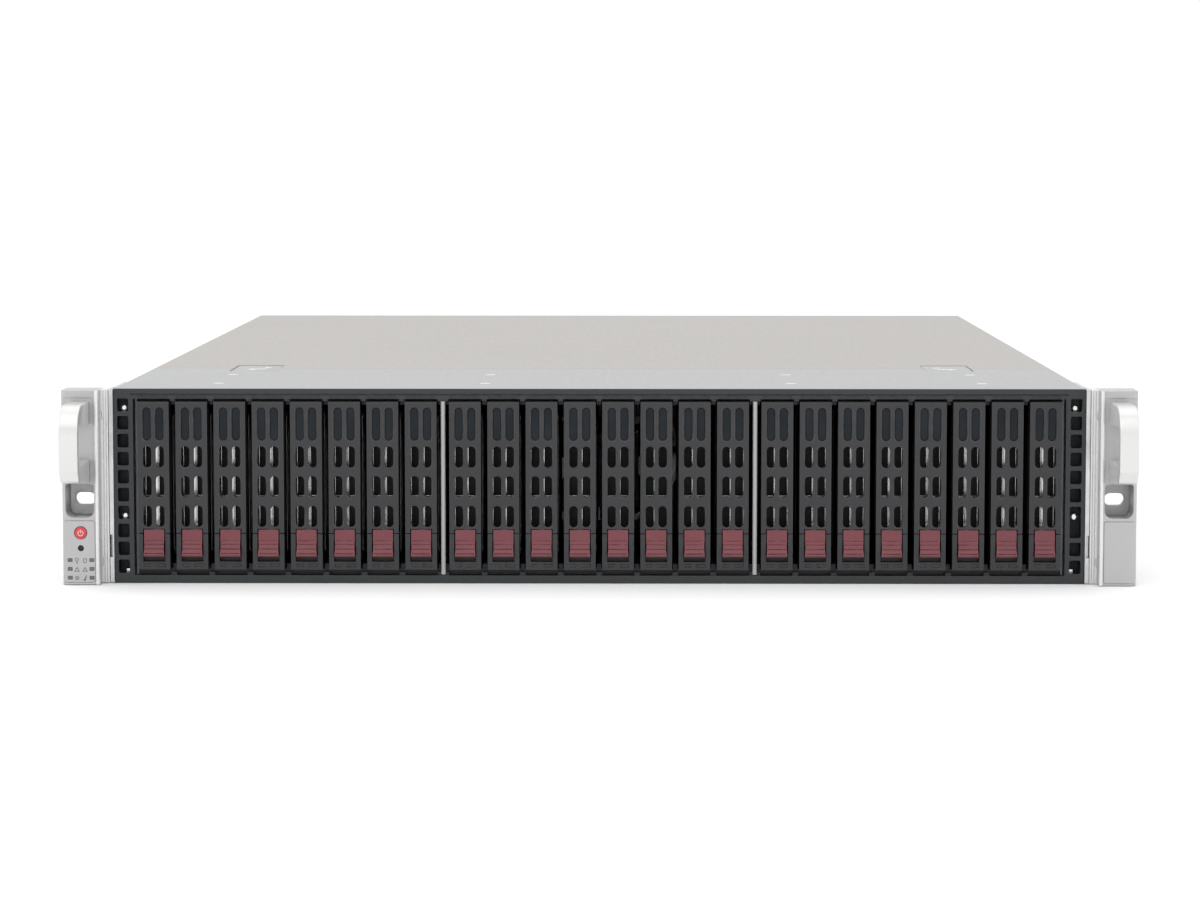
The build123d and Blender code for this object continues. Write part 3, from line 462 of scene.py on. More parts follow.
# What each finish has beside the usual. A colour is a value, or the name of the setting that holds it, and
# then its shade is the part of it that stays. Grain is a scale, a stretch and a height in metres, broad the
# scale of the broad shade, and edge the width of the worn edges in metres.
FINISHES = {
    # Bare zinc-coated sheet, cool grey
    "Zinc sheet": dict(
        colour=(0.40, 0.402, 0.405), shade=(0.392, 0.394, 0.397), worn=(0.6, 0.6, 0.6), metallic=0.1,
        rough=(0.42, 0.48), grain=(420.0, (1, 0.1, 1), 0.000003), broad=5.0, edge=0.0006, wear=0.2,
        shine=0.1,
    ),
    # Zinc-coated sheet of the rear cover, a little warmer as painted warm light on it
    "Warm zinc sheet": dict(
        colour=(0.405, 0.388, 0.374), shade=(0.397, 0.381, 0.368), worn=(0.6, 0.6, 0.6), metallic=0.1,
        rough=(0.42, 0.48), grain=(420.0, (1, 0.1, 1), 0.000003), broad=4.0, edge=0.0006, wear=0.2,
        shine=0.1,
    ),
    # Dark slate moulded plastic of the bay frame
    "Slate frame plastic": dict(
        colour="frame_colour", shade=0.8, worn=(0.16, 0.17, 0.18), rough=(0.38, 0.52),
        grain=(1500.0, EVEN, 0.00002), edge=0.0003, wear=0.7,
    ),
    # Grey moulded plastic of the carriers
    "Carrier plastic": dict(
        colour="carrier_colour", shade=0.85, worn=(0.22, 0.22, 0.235), rough=(0.36, 0.5),
        grain=(1500.0, EVEN, 0.000025), broad=22.0, edge=0.00025, wear=0.6,
    ),
    # Burgundy plastic of the release buttons
    "Burgundy plastic": dict(
        colour="button_colour", shade=0.86, worn=(0.5, 0.2, 0.22), rough=(0.34, 0.46),
        grain=(1600.0, EVEN, 0.00002), broad=60.0, edge=0.0003, wear=0.8,
    ),
    # Smoked plastic of the indicator windows
    "Smoked window": dict(
        colour=(0.006, 0.009, 0.012), shade=(0.012, 0.016, 0.02), worn=(0.06, 0.07, 0.08),
        rough=(0.3, 0.42), grain=(500.0, EVEN, 0.000008), broad=60.0, edge=0.0003, wear=0.3, shine=0.18,
    ),
    # Satin silver paint of the ears
    "Satin silver": dict(
        colour="ear_colour", shade=0.94, worn=(0.9, 0.9, 0.91), metallic=0.45, rough=(0.3, 0.4),
        grain=(1400.0, EVEN, 0.00001), broad=30.0, edge=0.0005, wear=0.5,
    ),
    # Silver of the ridge and the step beside the body, paler than the ear as a painted highlight
    "Pale silver": dict(
        colour=(0.74, 0.735, 0.74), shade=(0.7, 0.7, 0.7), worn=(0.95, 0.95, 0.96), metallic=0.35,
        rough=(0.26, 0.36), grain=(1400.0, EVEN, 0.000008), broad=30.0, edge=0.0005, wear=0.5,
    ),
    # Brushed silver of the pull handles
    "Brushed handle": dict(
        colour=(0.68, 0.68, 0.675), shade=(0.66, 0.66, 0.65), worn=(0.85, 0.85, 0.84), metallic=0.55,
        rough=(0.28, 0.36), grain=(1400.0, (1, 1, 0.03), 0.000003), broad=24.0, edge=0.0005, wear=0.3,
    ),
    # Plated steel of the hinge pins, the brackets and the ports
    "Plated steel": dict(
        colour=(0.62, 0.62, 0.63), shade=(0.5, 0.5, 0.51), worn=(0.85, 0.85, 0.85), metallic=0.95,
        rough=(0.2, 0.36), grain=(900.0, (1, 1, 0.1), 0.00001), broad=90.0, edge=0.0002, wear=0.4,
    ),
    # Bright bare metal of the contact strips and of the screws, and on the latches' ribs a painted highlight
    "Bright metal": dict(
        colour=(0.86, 0.86, 0.85), shade=(0.8, 0.8, 0.79), worn=(0.95, 0.95, 0.95), metallic=0.9,
        rough=(0.16, 0.26), grain=(900.0, (1, 1, 0.1), 0.000005), broad=60.0, edge=0.0002, wear=0.2,
    ),
    # Dark coated casting of the disk drives; on the tabs behind the ladder holes its near black is painted
    # shade
    "Drive casting": dict(
        colour=(0.02, 0.021, 0.023), shade=(0.015, 0.016, 0.018), worn=(0.2, 0.2, 0.2), metallic=0.2,
        rough=(0.35, 0.55), grain=(500.0, EVEN, 0.00003), broad=40.0, edge=0.0004, wear=0.4, shine=0.2,
    ),
    # Green lacquer of the circuit boards
    "Circuit board": dict(
        colour=(0.01, 0.10, 0.04), shade=(0.008, 0.07, 0.03), worn=(0.2, 0.28, 0.12), rough=(0.25, 0.42),
        grain=(300.0, EVEN, 0.00003), broad=80.0, edge=0.0003, wear=0.5,
    ),
    # Black moulded plastic of the fans
    "Fan plastic": dict(
        colour=(0.022, 0.022, 0.024), shade=(0.015, 0.015, 0.016), worn=(0.1, 0.1, 0.1), rough=(0.4, 0.55),
        grain=(1200.0, EVEN, 0.00002), edge=0.0005, wear=0.5,
    ),
    # Nickel-plated sheet of the power supplies
    "Supply sheet": dict(
        colour=(0.55, 0.55, 0.54), shade=(0.47, 0.47, 0.465), worn=(0.8, 0.8, 0.79), metallic=0.85,
        rough=(0.28, 0.44), grain=(260.0, (0.06, 1, 1), 0.00001), broad=20.0, edge=0.0004, wear=0.4,
    ),
    # Dull black plastic of the reset plunger
    "Socket plastic": dict(
        colour=(0.012, 0.012, 0.013), shade=(0.02, 0.02, 0.022), worn=(0.08, 0.08, 0.08), rough=(0.4, 0.58),
        grain=(1200.0, EVEN, 0.00002), broad=60.0, edge=0.0002, wear=0.5,
    ),
    # Red plastic of the power button
    "Red button": dict(
        colour=(0.62, 0.035, 0.05), shade=(0.5, 0.02, 0.035), worn=(0.85, 0.35, 0.35), rough=(0.25, 0.36),
        grain=(900.0, EVEN, 0.00001), broad=200.0, edge=0.0003, wear=0.5, coat=0.3,
    ),
    # Pale print on the power button
    "Pale print": dict(
        colour=(0.85, 0.55, 0.55), shade=(0.8, 0.48, 0.48), worn=(0.9, 0.7, 0.7), rough=(0.4, 0.5),
        grain=(900.0, EVEN, 0.00001), broad=200.0, edge=0.0001, wear=0.2,
    ),
    # Grey print of the small signs on the control plate
    "Grey print": dict(
        colour=(0.16, 0.16, 0.165), shade=(0.13, 0.13, 0.135), worn=(0.3, 0.3, 0.3), rough=(0.45, 0.6),
        grain=(900.0, EVEN, 0.000005), broad=200.0, edge=0.0001, wear=0.2,
    ),
    # Unlit grey lamp windows
    "Lamp window": dict(
        colour=(0.09, 0.09, 0.095), shade=(0.12, 0.12, 0.125), worn=(0.3, 0.3, 0.3), rough=(0.2, 0.32),
        grain=(700.0, EVEN, 0.00001), broad=300.0, edge=0.0002, wear=0.3, coat=0.3,
    ),
}


def finish(name):
    """A finish of the table, with broad shade, fine grain in roughness and bump, and wear along the edges."""
    if name in bpy.data.materials:
        return bpy.data.materials[name]
    row = {**USUAL, **FINISHES[name]}
    colour, shade = row["colour"], row["shade"]
    if isinstance(colour, str):
        part, colour = shade, getattr(bpy.context.scene.shelf_look, colour)
        shade = [value * part for value in colour]
    made = bpy.data.materials.new(name)
    made.use_nodes = True
    tree = made.node_tree
    shader = tree.nodes["Principled BSDF"]
    for label, key in (("Metallic", "metallic"), ("Coat Weight", "coat"), ("Specular IOR Level", "shine")):
        shader.inputs[label].default_value = row[key]
    scale, stretch, height = row["grain"]
    smooth, dull = row["rough"]
    shades = add(tree, "Group", {"Scale": row["broad"], "Stretch": EVEN}, node_tree=grain_group())
    fine = add(tree, "Group", {"Scale": scale, "Stretch": stretch}, node_tree=grain_group())
    edges = add(tree, "Group", {"Radius": row["edge"], "Amount": row["wear"]}, node_tree=edge_group())
    tones = add(tree, "Mix", {"A": (*colour, 1), "B": (*shade, 1)}, data_type="RGBA")
    rubbed = add(tree, "Mix", {"B": (*row["worn"], 1)}, data_type="RGBA")
    gloss = add(tree, "MapRange", {"To Min": smooth, "To Max": dull})
    bump = add(tree, "Bump", {"Strength": 0.6, "Distance": height})
    wire(
        tree,
        (shades, "Mask", tones, "Factor"),
        (edges, "Mask", rubbed, "Factor"),
        (tones, "Result", rubbed, "A"),
        (rubbed, "Result", shader, "Base Color"),
        (fine, "Mask", gloss, "Value"),
        (gloss, "Result", shader, "Roughness"),
        (fine, "Mask", bump, "Height"),
        (edges, "Normal", bump, "Normal"),
        (bump, "Normal", shader, "Normal"),
    )
    return made


def floor_finish():
    """A plain pale finish for the floor."""
    made = bpy.data.materials.new("Pale floor")
    made.use_nodes = True
    shader = made.node_tree.nodes["Principled BSDF"]
    shader.inputs["Base Color"].default_value = (0.96, 0.96, 0.96, 1)
    shader.inputs["Roughness"].default_value = 0.9
    return made


# Carriers


def upright_slot(name, x, z, size, extra, y):
    """An upright slot with round ends, as a solid: its width and height, and what is added to both."""
    width, height = (value + extra for value in size)
    across, tall = (x - width / 2, x + width / 2), (z - height / 2, z + height / 2)
    return rounded(name, across, y, tall, Y, width / 2 * 0.995, 8)


def shape_lever():
    """The ventilated face of a carrier, about the middle of the machine."""
    lever = box("lever", (-HALF_FACE, HALF_FACE), (FACE_Y, -7.0), (LEVER_LOW, CARRIER_TOP))
    round_edges(lever, X, 2.8, 6, lambda at: at.y > -10 and at.z > 80)
    round_edges(lever, X, 0.9, 3, lambda at: at.y < -12 and at.z > 80)
    cut(lever, box("hollow", (-5.5, 5.5), (-11.4, -6.0), (20.0, 80.8)))
    cut(lever, box("notch", (-BUTTON_ROOM, BUTTON_ROOM), (-14.0, -6.0), (20.0, 24.8)))
    # The openings right through, and then a shallow rim round each
    for window_rim, vent_rim, end in ((0, 0, -11.0), (0.9, 0.8, FACE_Y + 0.3)):
        cutters = []
        for x in (-VENT_X, VENT_X):
            cutters.append(upright_slot("cutter", x, WINDOW_Z, WINDOW_SIZE, window_rim, (-14.0, end)))
            for z in VENT_ROWS:
                cutters.append(upright_slot("cutter", x, z, VENT_SIZE, vent_rim, (-14.0, end)))
        cut(lever, *cutters)
    return soften(lever, 0.22, 2)


def shape_window():
    """The two smoked windows of a lever and the plate that joins them behind."""
    y = (FACE_Y + 0.75, -11.3)
    lenses = [upright_slot("lens", x, WINDOW_Z, WINDOW_SIZE, -0.1, y) for x in (-VENT_X, VENT_X)]
    for lens in lenses:
        sink(lens, Y, -1, 0.35, -0.12)
    back = box("lens", (-4.65, 4.65), (-11.35, -10.6), (64.7, 77.9))
    return soften(join("window", *lenses, back), 0.12, 2)


def shape_button():
    """The release button: flat above, with stepped ridges on a thumb ramp below."""
    button = box("button", (-HALF_BUTTON, HALF_BUTTON), (FACE_Y, -8.9), BUTTON_Z)
    low, top = BUTTON_Z
    levels = ((13.0, -2.2), (14.2, -1.75), (15.6, -1.15), (17.0, -0.65), (18.6, -0.2), (19.8, 0.0))
    slice_level(button, [level[0] for level in levels])
    for z, reach in (*levels, (low, -1.6), (top, 0.25)):
        shift_points(button, lambda at: abs(at.z - z) < 0.01 and at.y < -12, (0, reach, 0))
    for side in (-1, 1):
        for z, shift in ((low, 0.1), (13.0, 0.1), (15.6, -0.12), (17.0, -0.16), (18.6, -0.1)):
            shift_points(button, lambda at: abs(at.z - z) < 0.01 and at.x * side > 1, (side * shift, 0, 0))
    ridges = []
    for z, depth in ((13.75, -14.35), (15.75, -13.6), (17.75, -13.05), (19.35, -12.75)):
        ridges.append(box("cutter", (-4.15, 4.15), (-16.0, depth), (z - 0.22, z + 0.22)))
    cut(button, *ridges)
    return soften(button, 0.16, 2, 30)


def shape_tray():
    """The sliding part of a carrier: front block, two rails, two posts and the lever's arm."""
    across, arm_across = (-HALF_FACE, HALF_FACE), (-5.2, 5.2)
    block = box("tray", across, (FACE_Y, -3.0), (CARRIER_LOW, BLOCK_TOP))
    cut(block, box("cutter", (-BUTTON_ROOM, BUTTON_ROOM), (-14.0, -8.5), (9.9, 24.0)))
    # Two sunken marks, each with a raised bar inside
    spots, rim = ((-4.6, -1.4), (0.8, 5.1)), 0.45
    cut(block, *[box("cutter", spot, (-14.0, FACE_Y + 0.5), (7.3, 9.1)) for spot in spots])
    bars = [
        box("mark", (low + rim, high - rim), (FACE_Y + 0.05, FACE_Y + 0.7), (7.3 + rim, 9.1 - rim))
        for low, high in spots
    ]
    lower = sink(box("rail", across, (-3.2, RAIL_END), (CARRIER_LOW, 8.8)), Z, -1, 2.2, 0.8)
    upper = sink(box("rail", across, (-6.5, RAIL_END), (79.05, CARRIER_TOP)), Z, 1, 2.2, 0.8)
    posts = [box("post", beside(side, 5.6, HALF_FACE), (-6.5, 0.0), (6.5, 82.0)) for side in (-1, 1)]
    arm = box("arm", arm_across, (PIN_Y, -0.2), (78.1, PIN_Z))
    knuckle = bar("knuckle", 1.2, arm_across, PIN_Y, PIN_Z, 20)
    return soften(join("tray", block, *bars, lower, upper, *posts, arm, knuckle), 0.2, 2)


def shape_strip():
    """The bright contact strip behind the vents, with a thin edge at each side."""
    back, half_width = -0.2, 5.3
    middle = box("strip", (-1.25, 1.25), (-0.75, back), STRIP_Z)
    round_edges(middle, Z, 0.3, 3, lambda at: at.y < -0.5)
    edges = [box("strip", beside(side, 4.9, half_width), (-1.0, back), STRIP_Z) for side in (-1, 1)]
    lows = (9.2, 37.2, 64.0, 76.2)
    ties = [box("strip", (-half_width, half_width), (-0.5, back), (low, low + 1.6)) for low in lows]
    return soften(join("strip", middle, *edges, *ties), 0.12, 2)


def shape_drive():
    """A slim disk drive on its edge: cast base, stepped lid, board with its parts, and its connector."""
    base = rounded("drive", (-6.9, 6.9), (0.3, 100.75), (9.0, 78.85), X, 1.6, 4)
    cut(base, box("cutter", (-3.2, 3.2), (96.6, 102.0), (21.6, 66.4)))
    cut(base, *[bar("cutter", 1.3, (5.9, 8.0), y, z, 16) for y in (14.3, 90.8) for z in (12.4, 75.4)])
    soften(base, 0.35, 2)
    lid = rounded("lid", (6.8, 7.15), (2.6, 94.5), (11.2, 76.6), X, 3.0, 5)
    raised = rounded("lid", (7.1, 7.35), (9.0, 84.0), (17.0, 70.8), X, 8.0, 8)
    disc = bar("lid", 5.6, (7.3, 7.4), 34.0, 44.0, 40)
    heads = [bar("lid", 1.2, (7.1, 7.38), y, z, 14) for y in (4.9, 48.0, 91.8) for z in (13.6, 74.2)]
    soften(join("lid", lid, raised, disc, *heads), 0.1, 2)
    board = rounded("board", (-7.2, -6.85), (28.0, 96.0), (11.6, 76.2), X, 1.2, 3)
    chips = []
    for y, z, tall, wide in ((46.0, 44.0, 12.0, 12.0), (66.0, 30.0, 8.0, 10.0), (70.0, 58.0, 10.0, 7.0)):
        chips.append(box("board", (-7.4, -7.15), (y, y + wide), (z, z + tall)))
    soften(join("board", board, *chips), 0.06, 1)
    return [base, bpy.data.objects["lid"], bpy.data.objects["board"]]


class SHELF_OT_carriers(bpy.types.Operator):
    """Model one disk carrier, with its lever, windows, button, strip and drive, and copy it to every bay"""

    bl_idname = "shelf.carriers"
    bl_label = "Disk carriers"

    def execute(self, context):
        looks = {
            "lever": ("Carrier plastic", "slate_plastic"),
            "window": ("Smoked window", "slate_plastic"),
            "button": ("Burgundy plastic", "burgundy_plastic"),
            "tray": ("Carrier plastic", "carrier_mix"),
            "strip": ("Bright metal", "screw_steel"),
            "drive": ("Drive casting", "carrier_mix"),
            "lid": ("Supply sheet", "carrier_mix"),
            "board": ("Circuit board", "carrier_mix"),
            "pin": ("Plated steel", "screw_steel"),
        }
        pin = soften(bar("pin", 0.78, (-6.9, 6.9), PIN_Y, PIN_Z, 16), 0.15, 2)
        first = [shape_lever(), shape_window(), shape_button(), shape_tray(), shape_strip()]
        first += [*shape_drive(), pin]
        for bay in range(1, BANK_COUNT * BANK_BAYS + 1):
            for piece in copies(first, (bay_middle(bay), 0, 0)):
                kind = piece.name.split(".")[0]
                piece.name = f"{kind}_of_bay_{bay:02d}"
                holder = {"lever": "lever", "window": "lever", "button": "button"}.get(kind, "carrier")
                body = f"{holder if bay in JOINTED_BAYS else 'carrier'}_{bay:02d}"
                look, slot = looks[kind]
                place(piece, look, body, slot, body)
        for piece in first:
            bpy.data.objects.remove(piece)
        return {"FINISHED"}


# Bay frame


def frame_holes(side):
    """The square holes down one side of the frame, with rounded corners, as solids."""
    holes = []
    for row in range(HOLE_ROWS):
        z = HOLE_FIRST_Z + HOLE_PITCH * row
        low, high = z - HALF_HOLE, z + HALF_HOLE
        # At the right the third and the fourth hole are one
        if side > 0 and row == 2:
            high += HOLE_PITCH
        if side > 0 and row == 3:
            continue
        holes.append(rounded("cutter", beside(side, *HOLE_ACROSS), (-13.0, -5.0), (low, high), Y, 0.9, 4))
    return holes


def shape_bay_frame():
    """The moulded frame round the bays, with ladder holes, a groove along the head and teeth in the gaps."""
    front, back = FRAME_Y
    lip = box("frame", (-HALF_BODY, HALF_BODY), (front, LIP_BACK), (0.0, BODY_TOP))
    cut(lip, box("cutter", (-COLUMN_INNER, COLUMN_INNER), (-13.0, -5.0), (SILL_TOP, HEAD_LOW)))
    cut(lip, *frame_holes(-1), *frame_holes(1))
    cut(lip, box("cutter", (-210.6, 210.6), (-13.0, -11.1), (85.0, 85.8)))
    middles = [bay_middle(bay) for bay in range(1, BANK_COUNT * BANK_BAYS + 1)]
    cut(lip, *[box("cutter", (x - 6.6, x + 6.6), (-13.0, -11.3), (82.0, 84.75)) for x in middles])
    # The deep part behind the lip is four bars, because a boolean cut of the mouth leaves faces in it
    ring_y, ring_end = (LIP_BACK - 0.1, back), 217.1
    ring = [box("frame", (-ring_end, ring_end), ring_y, z) for z in ((1.4, SILL_TOP), (HEAD_LOW, 86.8))]
    for side in (-1, 1):
        column = box("frame", beside(side, COLUMN_INNER, ring_end), ring_y, (SILL_TOP - 0.1, HEAD_LOW + 0.1))
        ring.append(cut(column, *frame_holes(side)))
    spots = gap_middles()
    first = spots[0]
    shifts = [(spot - first, 0, 0) for spot in spots[1:]]
    teeth = []
    for half_width, y, z in ((1.1, TOOTH_Y, TOOTH_Z), (1.3, STUB_Y, STUB_Z)):
        tooth = box("tooth", (first - half_width, first + half_width), y, z)
        teeth.append(row_of("tooth", tooth, shifts))
    for x in divider_middles():
        teeth.append(box("tooth", (x - 2.4, x + 2.4), TOOTH_Y, TOOTH_Z))
        teeth.append(box("tooth", (x - 2.4, x + 2.4), STUB_Y, STUB_Z))
    return soften(join("bay_frame_moulding", lip, *ring, *teeth), 0.28, 2)


def shape_side_tabs():
    """Tabs behind the ladder holes, near black as painted shade in the holes, and the domed screws that hold
    them.
    """
    tabs, screws, seat = [], [], -5.5
    for side in (-1, 1):
        tabs.append(box("tab", beside(side, 209.9, 217.0), (seat - 0.1, -4.6), (2.0, 86.0)))
        for z in (78.9, 30.0):
            screws.append(dome_front(bar("screw", 1.9, side * 214.2, (-7.2, seat), z, 28), 1.2))
        screws.append(box("screw", beside(side, 210.8, 214.0), (-6.4, seat), (4.2, 6.0)))
    return soften(join("side_tabs", *tabs), 0.3, 2), soften(join("side_screws", *screws), 0.15, 2)


def shape_divider_posts():
    """The rounded front edges of the two dividers between banks."""
    posts = []
    for x in divider_middles():
        posts.append(rounded("post", (x - 1.0, x + 1.0), (-12.0, -5.9), (4.0, CARRIER_TOP), Z, 0.95, 6))
    return soften(join("divider_posts", *posts), 0.15, 2)


class SHELF_OT_bay_frame(bpy.types.Operator):
    """Model the moulded frame round the bays, the dividers' edges and the screw tabs behind the holes"""

    bl_idname = "shelf.bay_frame"
    bl_label = "Bay frame"

    def execute(self, context):
        frame_look, slot = "Slate frame plastic", "slate_plastic"
        place(shape_bay_frame(), frame_look, "chassis", slot, "bay_frame", "frame_teeth")
        tabs, screws = shape_side_tabs()
        # The tabs' near-black finish is painted shade in the ladder holes
        place(tabs, "Drive casting", "chassis", slot)
        place(screws, "Bright metal", "chassis", "screw_steel")
        place(shape_divider_posts(), "Zinc sheet", "chassis", "zinc_steel")
        return {"FINISHED"}


# Rack ears


def ear_slot(y):
    """The level slot for the rack screw, as a solid between two depths."""
    return rounded("cutter", (CONTROL_X - 4.6, CONTROL_X + 4.6), y, (34.9, 40.5), Y, 2.79, 8)


def shape_housing(bores):
    """The moulded housing of the right ear, with button bores if it is to be the left one."""
    housing = box("housing", (224.0, 240.9), (EAR_FRONT, -2.0), EAR_Z)
    round_edges(housing, Z, 2.4, 6, lambda at: at.x > 240 and at.y < -19)
    cut(housing, rounded("cutter", (226.2, 242.0), (-21.0, EAR_FRONT + 0.7), (45.6, 84.6), Y, 1.5, 4))
    scoop = box("cutter", (226.3, 239.2), (-21.0, -4.5), (30.6, 45.8))
    round_edges(scoop, Y, 3.4, 6, lambda at: at.z < 35)
    round_edges(scoop, Y, 1.2, 3, lambda at: at.z > 40)
    cut(housing, scoop)
    cut(housing, ear_slot((-21.0, -1.0)))
    cut(housing, rounded("cutter", (226.0, 240.3), (-21.0, PLATE_FRONT), (1.1, 29.2), Y, 1.2, 4))
    for radius, z in bores:
        cut(housing, bar("cutter", radius + 0.2, CONTROL_X, (-21.0, -10.0), z, 32))
    step = box("step", (220.7, 224.2), (-13.0, -2.0), EAR_Z)
    cut(step, *[box("cutter", (x, x + 0.3), (-14.0, -12.6), (0.0, 88.0)) for x in (221.6, 222.8)])
    ridge = bar("ridge", 0.9, 224.9, EAR_FRONT, EAR_Z, 24)
    bosses = [
        rounded("boss", (223.3, 224.6), (-15.2, -13.2), (z - 2.0, z + 2.0), Y, 0.6, 4) for z in (10.0, 76.0)
    ]
    return soften(join("housing", housing, *bosses), 0.3, 3), soften(join("trim", step, ridge), 0.3, 3)


def shape_bracket():
    """The steel angle behind the right ear, with its side screws."""
    leg = box("bracket", (HALF_BODY, 220.5), (-13.0, 40.0), EAR_Z)
    round_edges(leg, X, 3.0, 4, lambda at: at.y > 30)
    cut(leg, box("cutter", (219.2, 221.0), (-14.0, -10.5), (12.0, 22.0)))
    flange = box("bracket", (HALF_BODY, 241.25), (-2.0, 0.0), EAR_Z)
    cut(flange, ear_slot((-3.0, 1.0)))
    screws = []
    for y, z in ((10.0, 16.0), (30.0, 16.0), (10.0, 72.0), (30.0, 72.0)):
        head = bar("screw", 2.9, (220.4, 221.3), y, z, 24, 2.5)
        for wide, tall in ((1.6, 0.3), (0.3, 1.6)):
            cut(head, box("cutter", (220.9, 222.0), (y - wide, y + wide), (z - tall, z + tall)))
        screws.append(head)
    return soften(join("bracket", leg, flange, *screws), 0.25, 2)


def shape_handle():
    """The right pull handle: an arched strap, level above, with a lower leg that rises to the front."""
    low, top = 46.0, 82.8
    handle = box("handle", (228.3, 236.8), (-53.0, PLATE_FRONT), (low, top))
    round_edges(handle, X, 13.0, 10, lambda at: at.y < -48 and at.z > top - 0.1)
    round_edges(handle, X, 7.0, 8, lambda at: at.y < -48 and at.z < low + 0.1)
    for reach, rise in ((-44.0, 2.6), (-50.0, 1.0)):
        shift_points(handle, lambda at: at.y < reach and at.z < 53.5, (0, 0, rise))
    grip = box("cutter", (226.0, 239.0), (-48.6, -10.0), (57.0, 71.8))
    shift_points(grip, lambda at: at.y < -40 and at.z < 60, (0, 0, -0.8))
    shift_points(grip, lambda at: at.y < -40 and at.z > 60, (0, 0, 2.5))
    round_edges(grip, X, 5.0, 6, lambda at: at.y < -40)
    cut(handle, grip)
    return soften(handle, 0.8, 4, 30)


class SHELF_OT_ears(bpy.types.Operator):
    """Model the two rack ears: silver housings, steel brackets and brushed pull handles"""

    bl_idname = "shelf.ears"
    bl_label = "Rack ears"

    def execute(self, context):
        bored, trim = shape_housing(((POWER_RADIUS, POWER_Z), (RESET_RADIUS, RESET_Z)))
        left = mirrored(bored, "left_housing")
        bpy.data.objects.remove(bored)
        bpy.data.objects.remove(trim)
        right, trim = shape_housing(())
        right.name = "right_housing"
        fittings = [trim, shape_bracket(), shape_handle()]
        twins = [mirrored(piece, f"left_{piece.name}") for piece in fittings]
        for piece in fittings:
            piece.name = f"right_{piece.name}"
        for side, pieces in (("left", [left, *twins]), ("right", [right, *fittings])):
            # The trim's paler silver is a painted highlight along the step and the ridge
            finishes = ("Satin silver", "Pale silver", "Plated steel", "Brushed handle")
            slots = ("silver_ear", "silver_ear", "zinc_steel", "silver_ear")
            for piece, look, slot in zip(pieces, finishes, slots):
                place(piece, look, "chassis", slot, f"{side}_ear")
        return {"FINISHED"}


# Control plate and bare plate


def shape_plate():
    """The bare lower plate of the right ear."""
    return rounded("bare_plate", (226.15, 240.15), (EAR_FRONT, PLATE_FRONT), (1.25, 29.05), Y, 1.1, 5)


def ring_mark(x, z, outer, inner, y, sides=28):
    """A thin flat ring on the control plate."""
    ring = bar("mark", outer, x, y, z, sides)
    return cut(ring, bar("cutter", inner, x, (y[0] - 1, y[1] + 1), z, sides))


def triangle_mark(x, z, reach, y):
    """A thin triangular outline on the control plate."""
    outer = bar("mark", reach, x, y, z, 3)
    cut(outer, bar("cutter", reach * 0.55, x, (y[0] - 1, y[1] + 1), z, 3))
    return flipped(outer, (1, 1, -1), (0, 0, z * MM))


def shape_signs():
    """The small generic signs between the lamp windows."""
    y = (-20.06, -19.95)
    left, right = -CONTROL_X - 1.8, -CONTROL_X + 1.8
    signs = [ring_mark(left, 11.6, 0.85, 0.55, y), box("mark", (left - 0.35, left + 0.35), y, (9.9, 10.5))]
    drum = rounded("mark", (right - 0.8, right + 0.8), y, (10.0, 12.3), Y, 0.6, 4)
    hollow = rounded("cutter", (right - 0.5, right + 0.5), HOLLOW_Y, (10.3, 12.0), Y, 0.4, 4)
    signs.append(cut(drum, hollow))
    signs += [triangle_mark(x, 6.9, 1.45, y) for x in (left, right)]
    signs += [ring_mark(left, 3.3, 0.9, 0.6, y), bar("mark", 0.28, left, y, 3.3, 12)]
    stroke = box("mark", (right - 0.4, right + 0.1), y, (2.3, 4.4))
    signs.append(shift_points(stroke, lambda at: at.z > 4, (0.7, 0, 0)))
    signs.append(bar("mark", 0.45, right - 0.2, y, 2.4, 14))
    return join("control_signs", *signs)


def shape_power_mark():
    """The ring and bar of the power sign on the power button."""
    y = (-20.5, -20.38)
    ring = ring_mark(-CONTROL_X, 23.55, 1.35, 0.98, y, 40)
    cut(ring, box("cutter", (-CONTROL_X - 0.5, -CONTROL_X + 0.5), (-22.0, -19.0), (23.9, 26.0)))
    stem = box("mark", (-CONTROL_X - 0.2, -CONTROL_X + 0.2), y, (23.5, 25.2))
    return join("power_sign", ring, stem)


class SHELF_OT_ear_plates(bpy.types.Operator):
    """Model the control plate with its lamps, signs and buttons, and the bare plate of the right ear"""

    bl_idname = "shelf.ear_plates"
    bl_label = "Ear plates"

    def execute(self, context):
        bare = shape_plate()
        plate = mirrored(bare, "control_plate")
        for radius, z in ((POWER_RADIUS, POWER_Z), (RESET_RADIUS, RESET_Z)):
            cut(plate, bar("cutter", radius + 0.2, -CONTROL_X, HOLLOW_Y, z, 40))
        lamps = []
        for x in (-CONTROL_X - 4.9, -CONTROL_X + 4.9):
            for low in (2.6, 6.6, 10.6):
                across, tall = (x - 1.1, x + 1.1), (low - 0.1, low + 1.6)
                cut(plate, rounded("cutter", across, HOLLOW_Y, tall, Y, 0.25, 3))
                across, tall = (x - 1.02, x + 1.02), (low - 0.02, low + 1.52)
                lamps.append(rounded("lamp", across, (-19.9, PLATE_FRONT), tall, Y, 0.2, 3))
        for piece in (plate, bare):
            place(soften(piece, 0.12, 2), "Satin silver", "chassis", "ear_plate", "ear_plates")
        lamps = soften(join("status_lamps", *lamps), 0.1, 2)
        place(lamps, "Lamp window", "chassis", "ear_plate", "ear_plates")
        place(shape_signs(), "Grey print", "chassis", "ear_plate")
        power = bar("power_cap", POWER_RADIUS, -CONTROL_X, (-20.4, -11.2), POWER_Z, 48)
        sink(power, Y, -1, 0.6, 0.12)
        place(soften(power, 0.15, 2), "Red button", "power_button", "red_button", "power_button")
        place(shape_power_mark(), "Pale print", "power_button", "red_button")
        reset = soften(bar("reset_cap", RESET_RADIUS, -CONTROL_X, (-19.0, -11.0), RESET_Z, 32), 0.25, 3)
        place(reset, "Socket plastic", "reset_button", "grey_button", "reset_button")
        return {"FINISHED"}


# Covers, their screws and latches


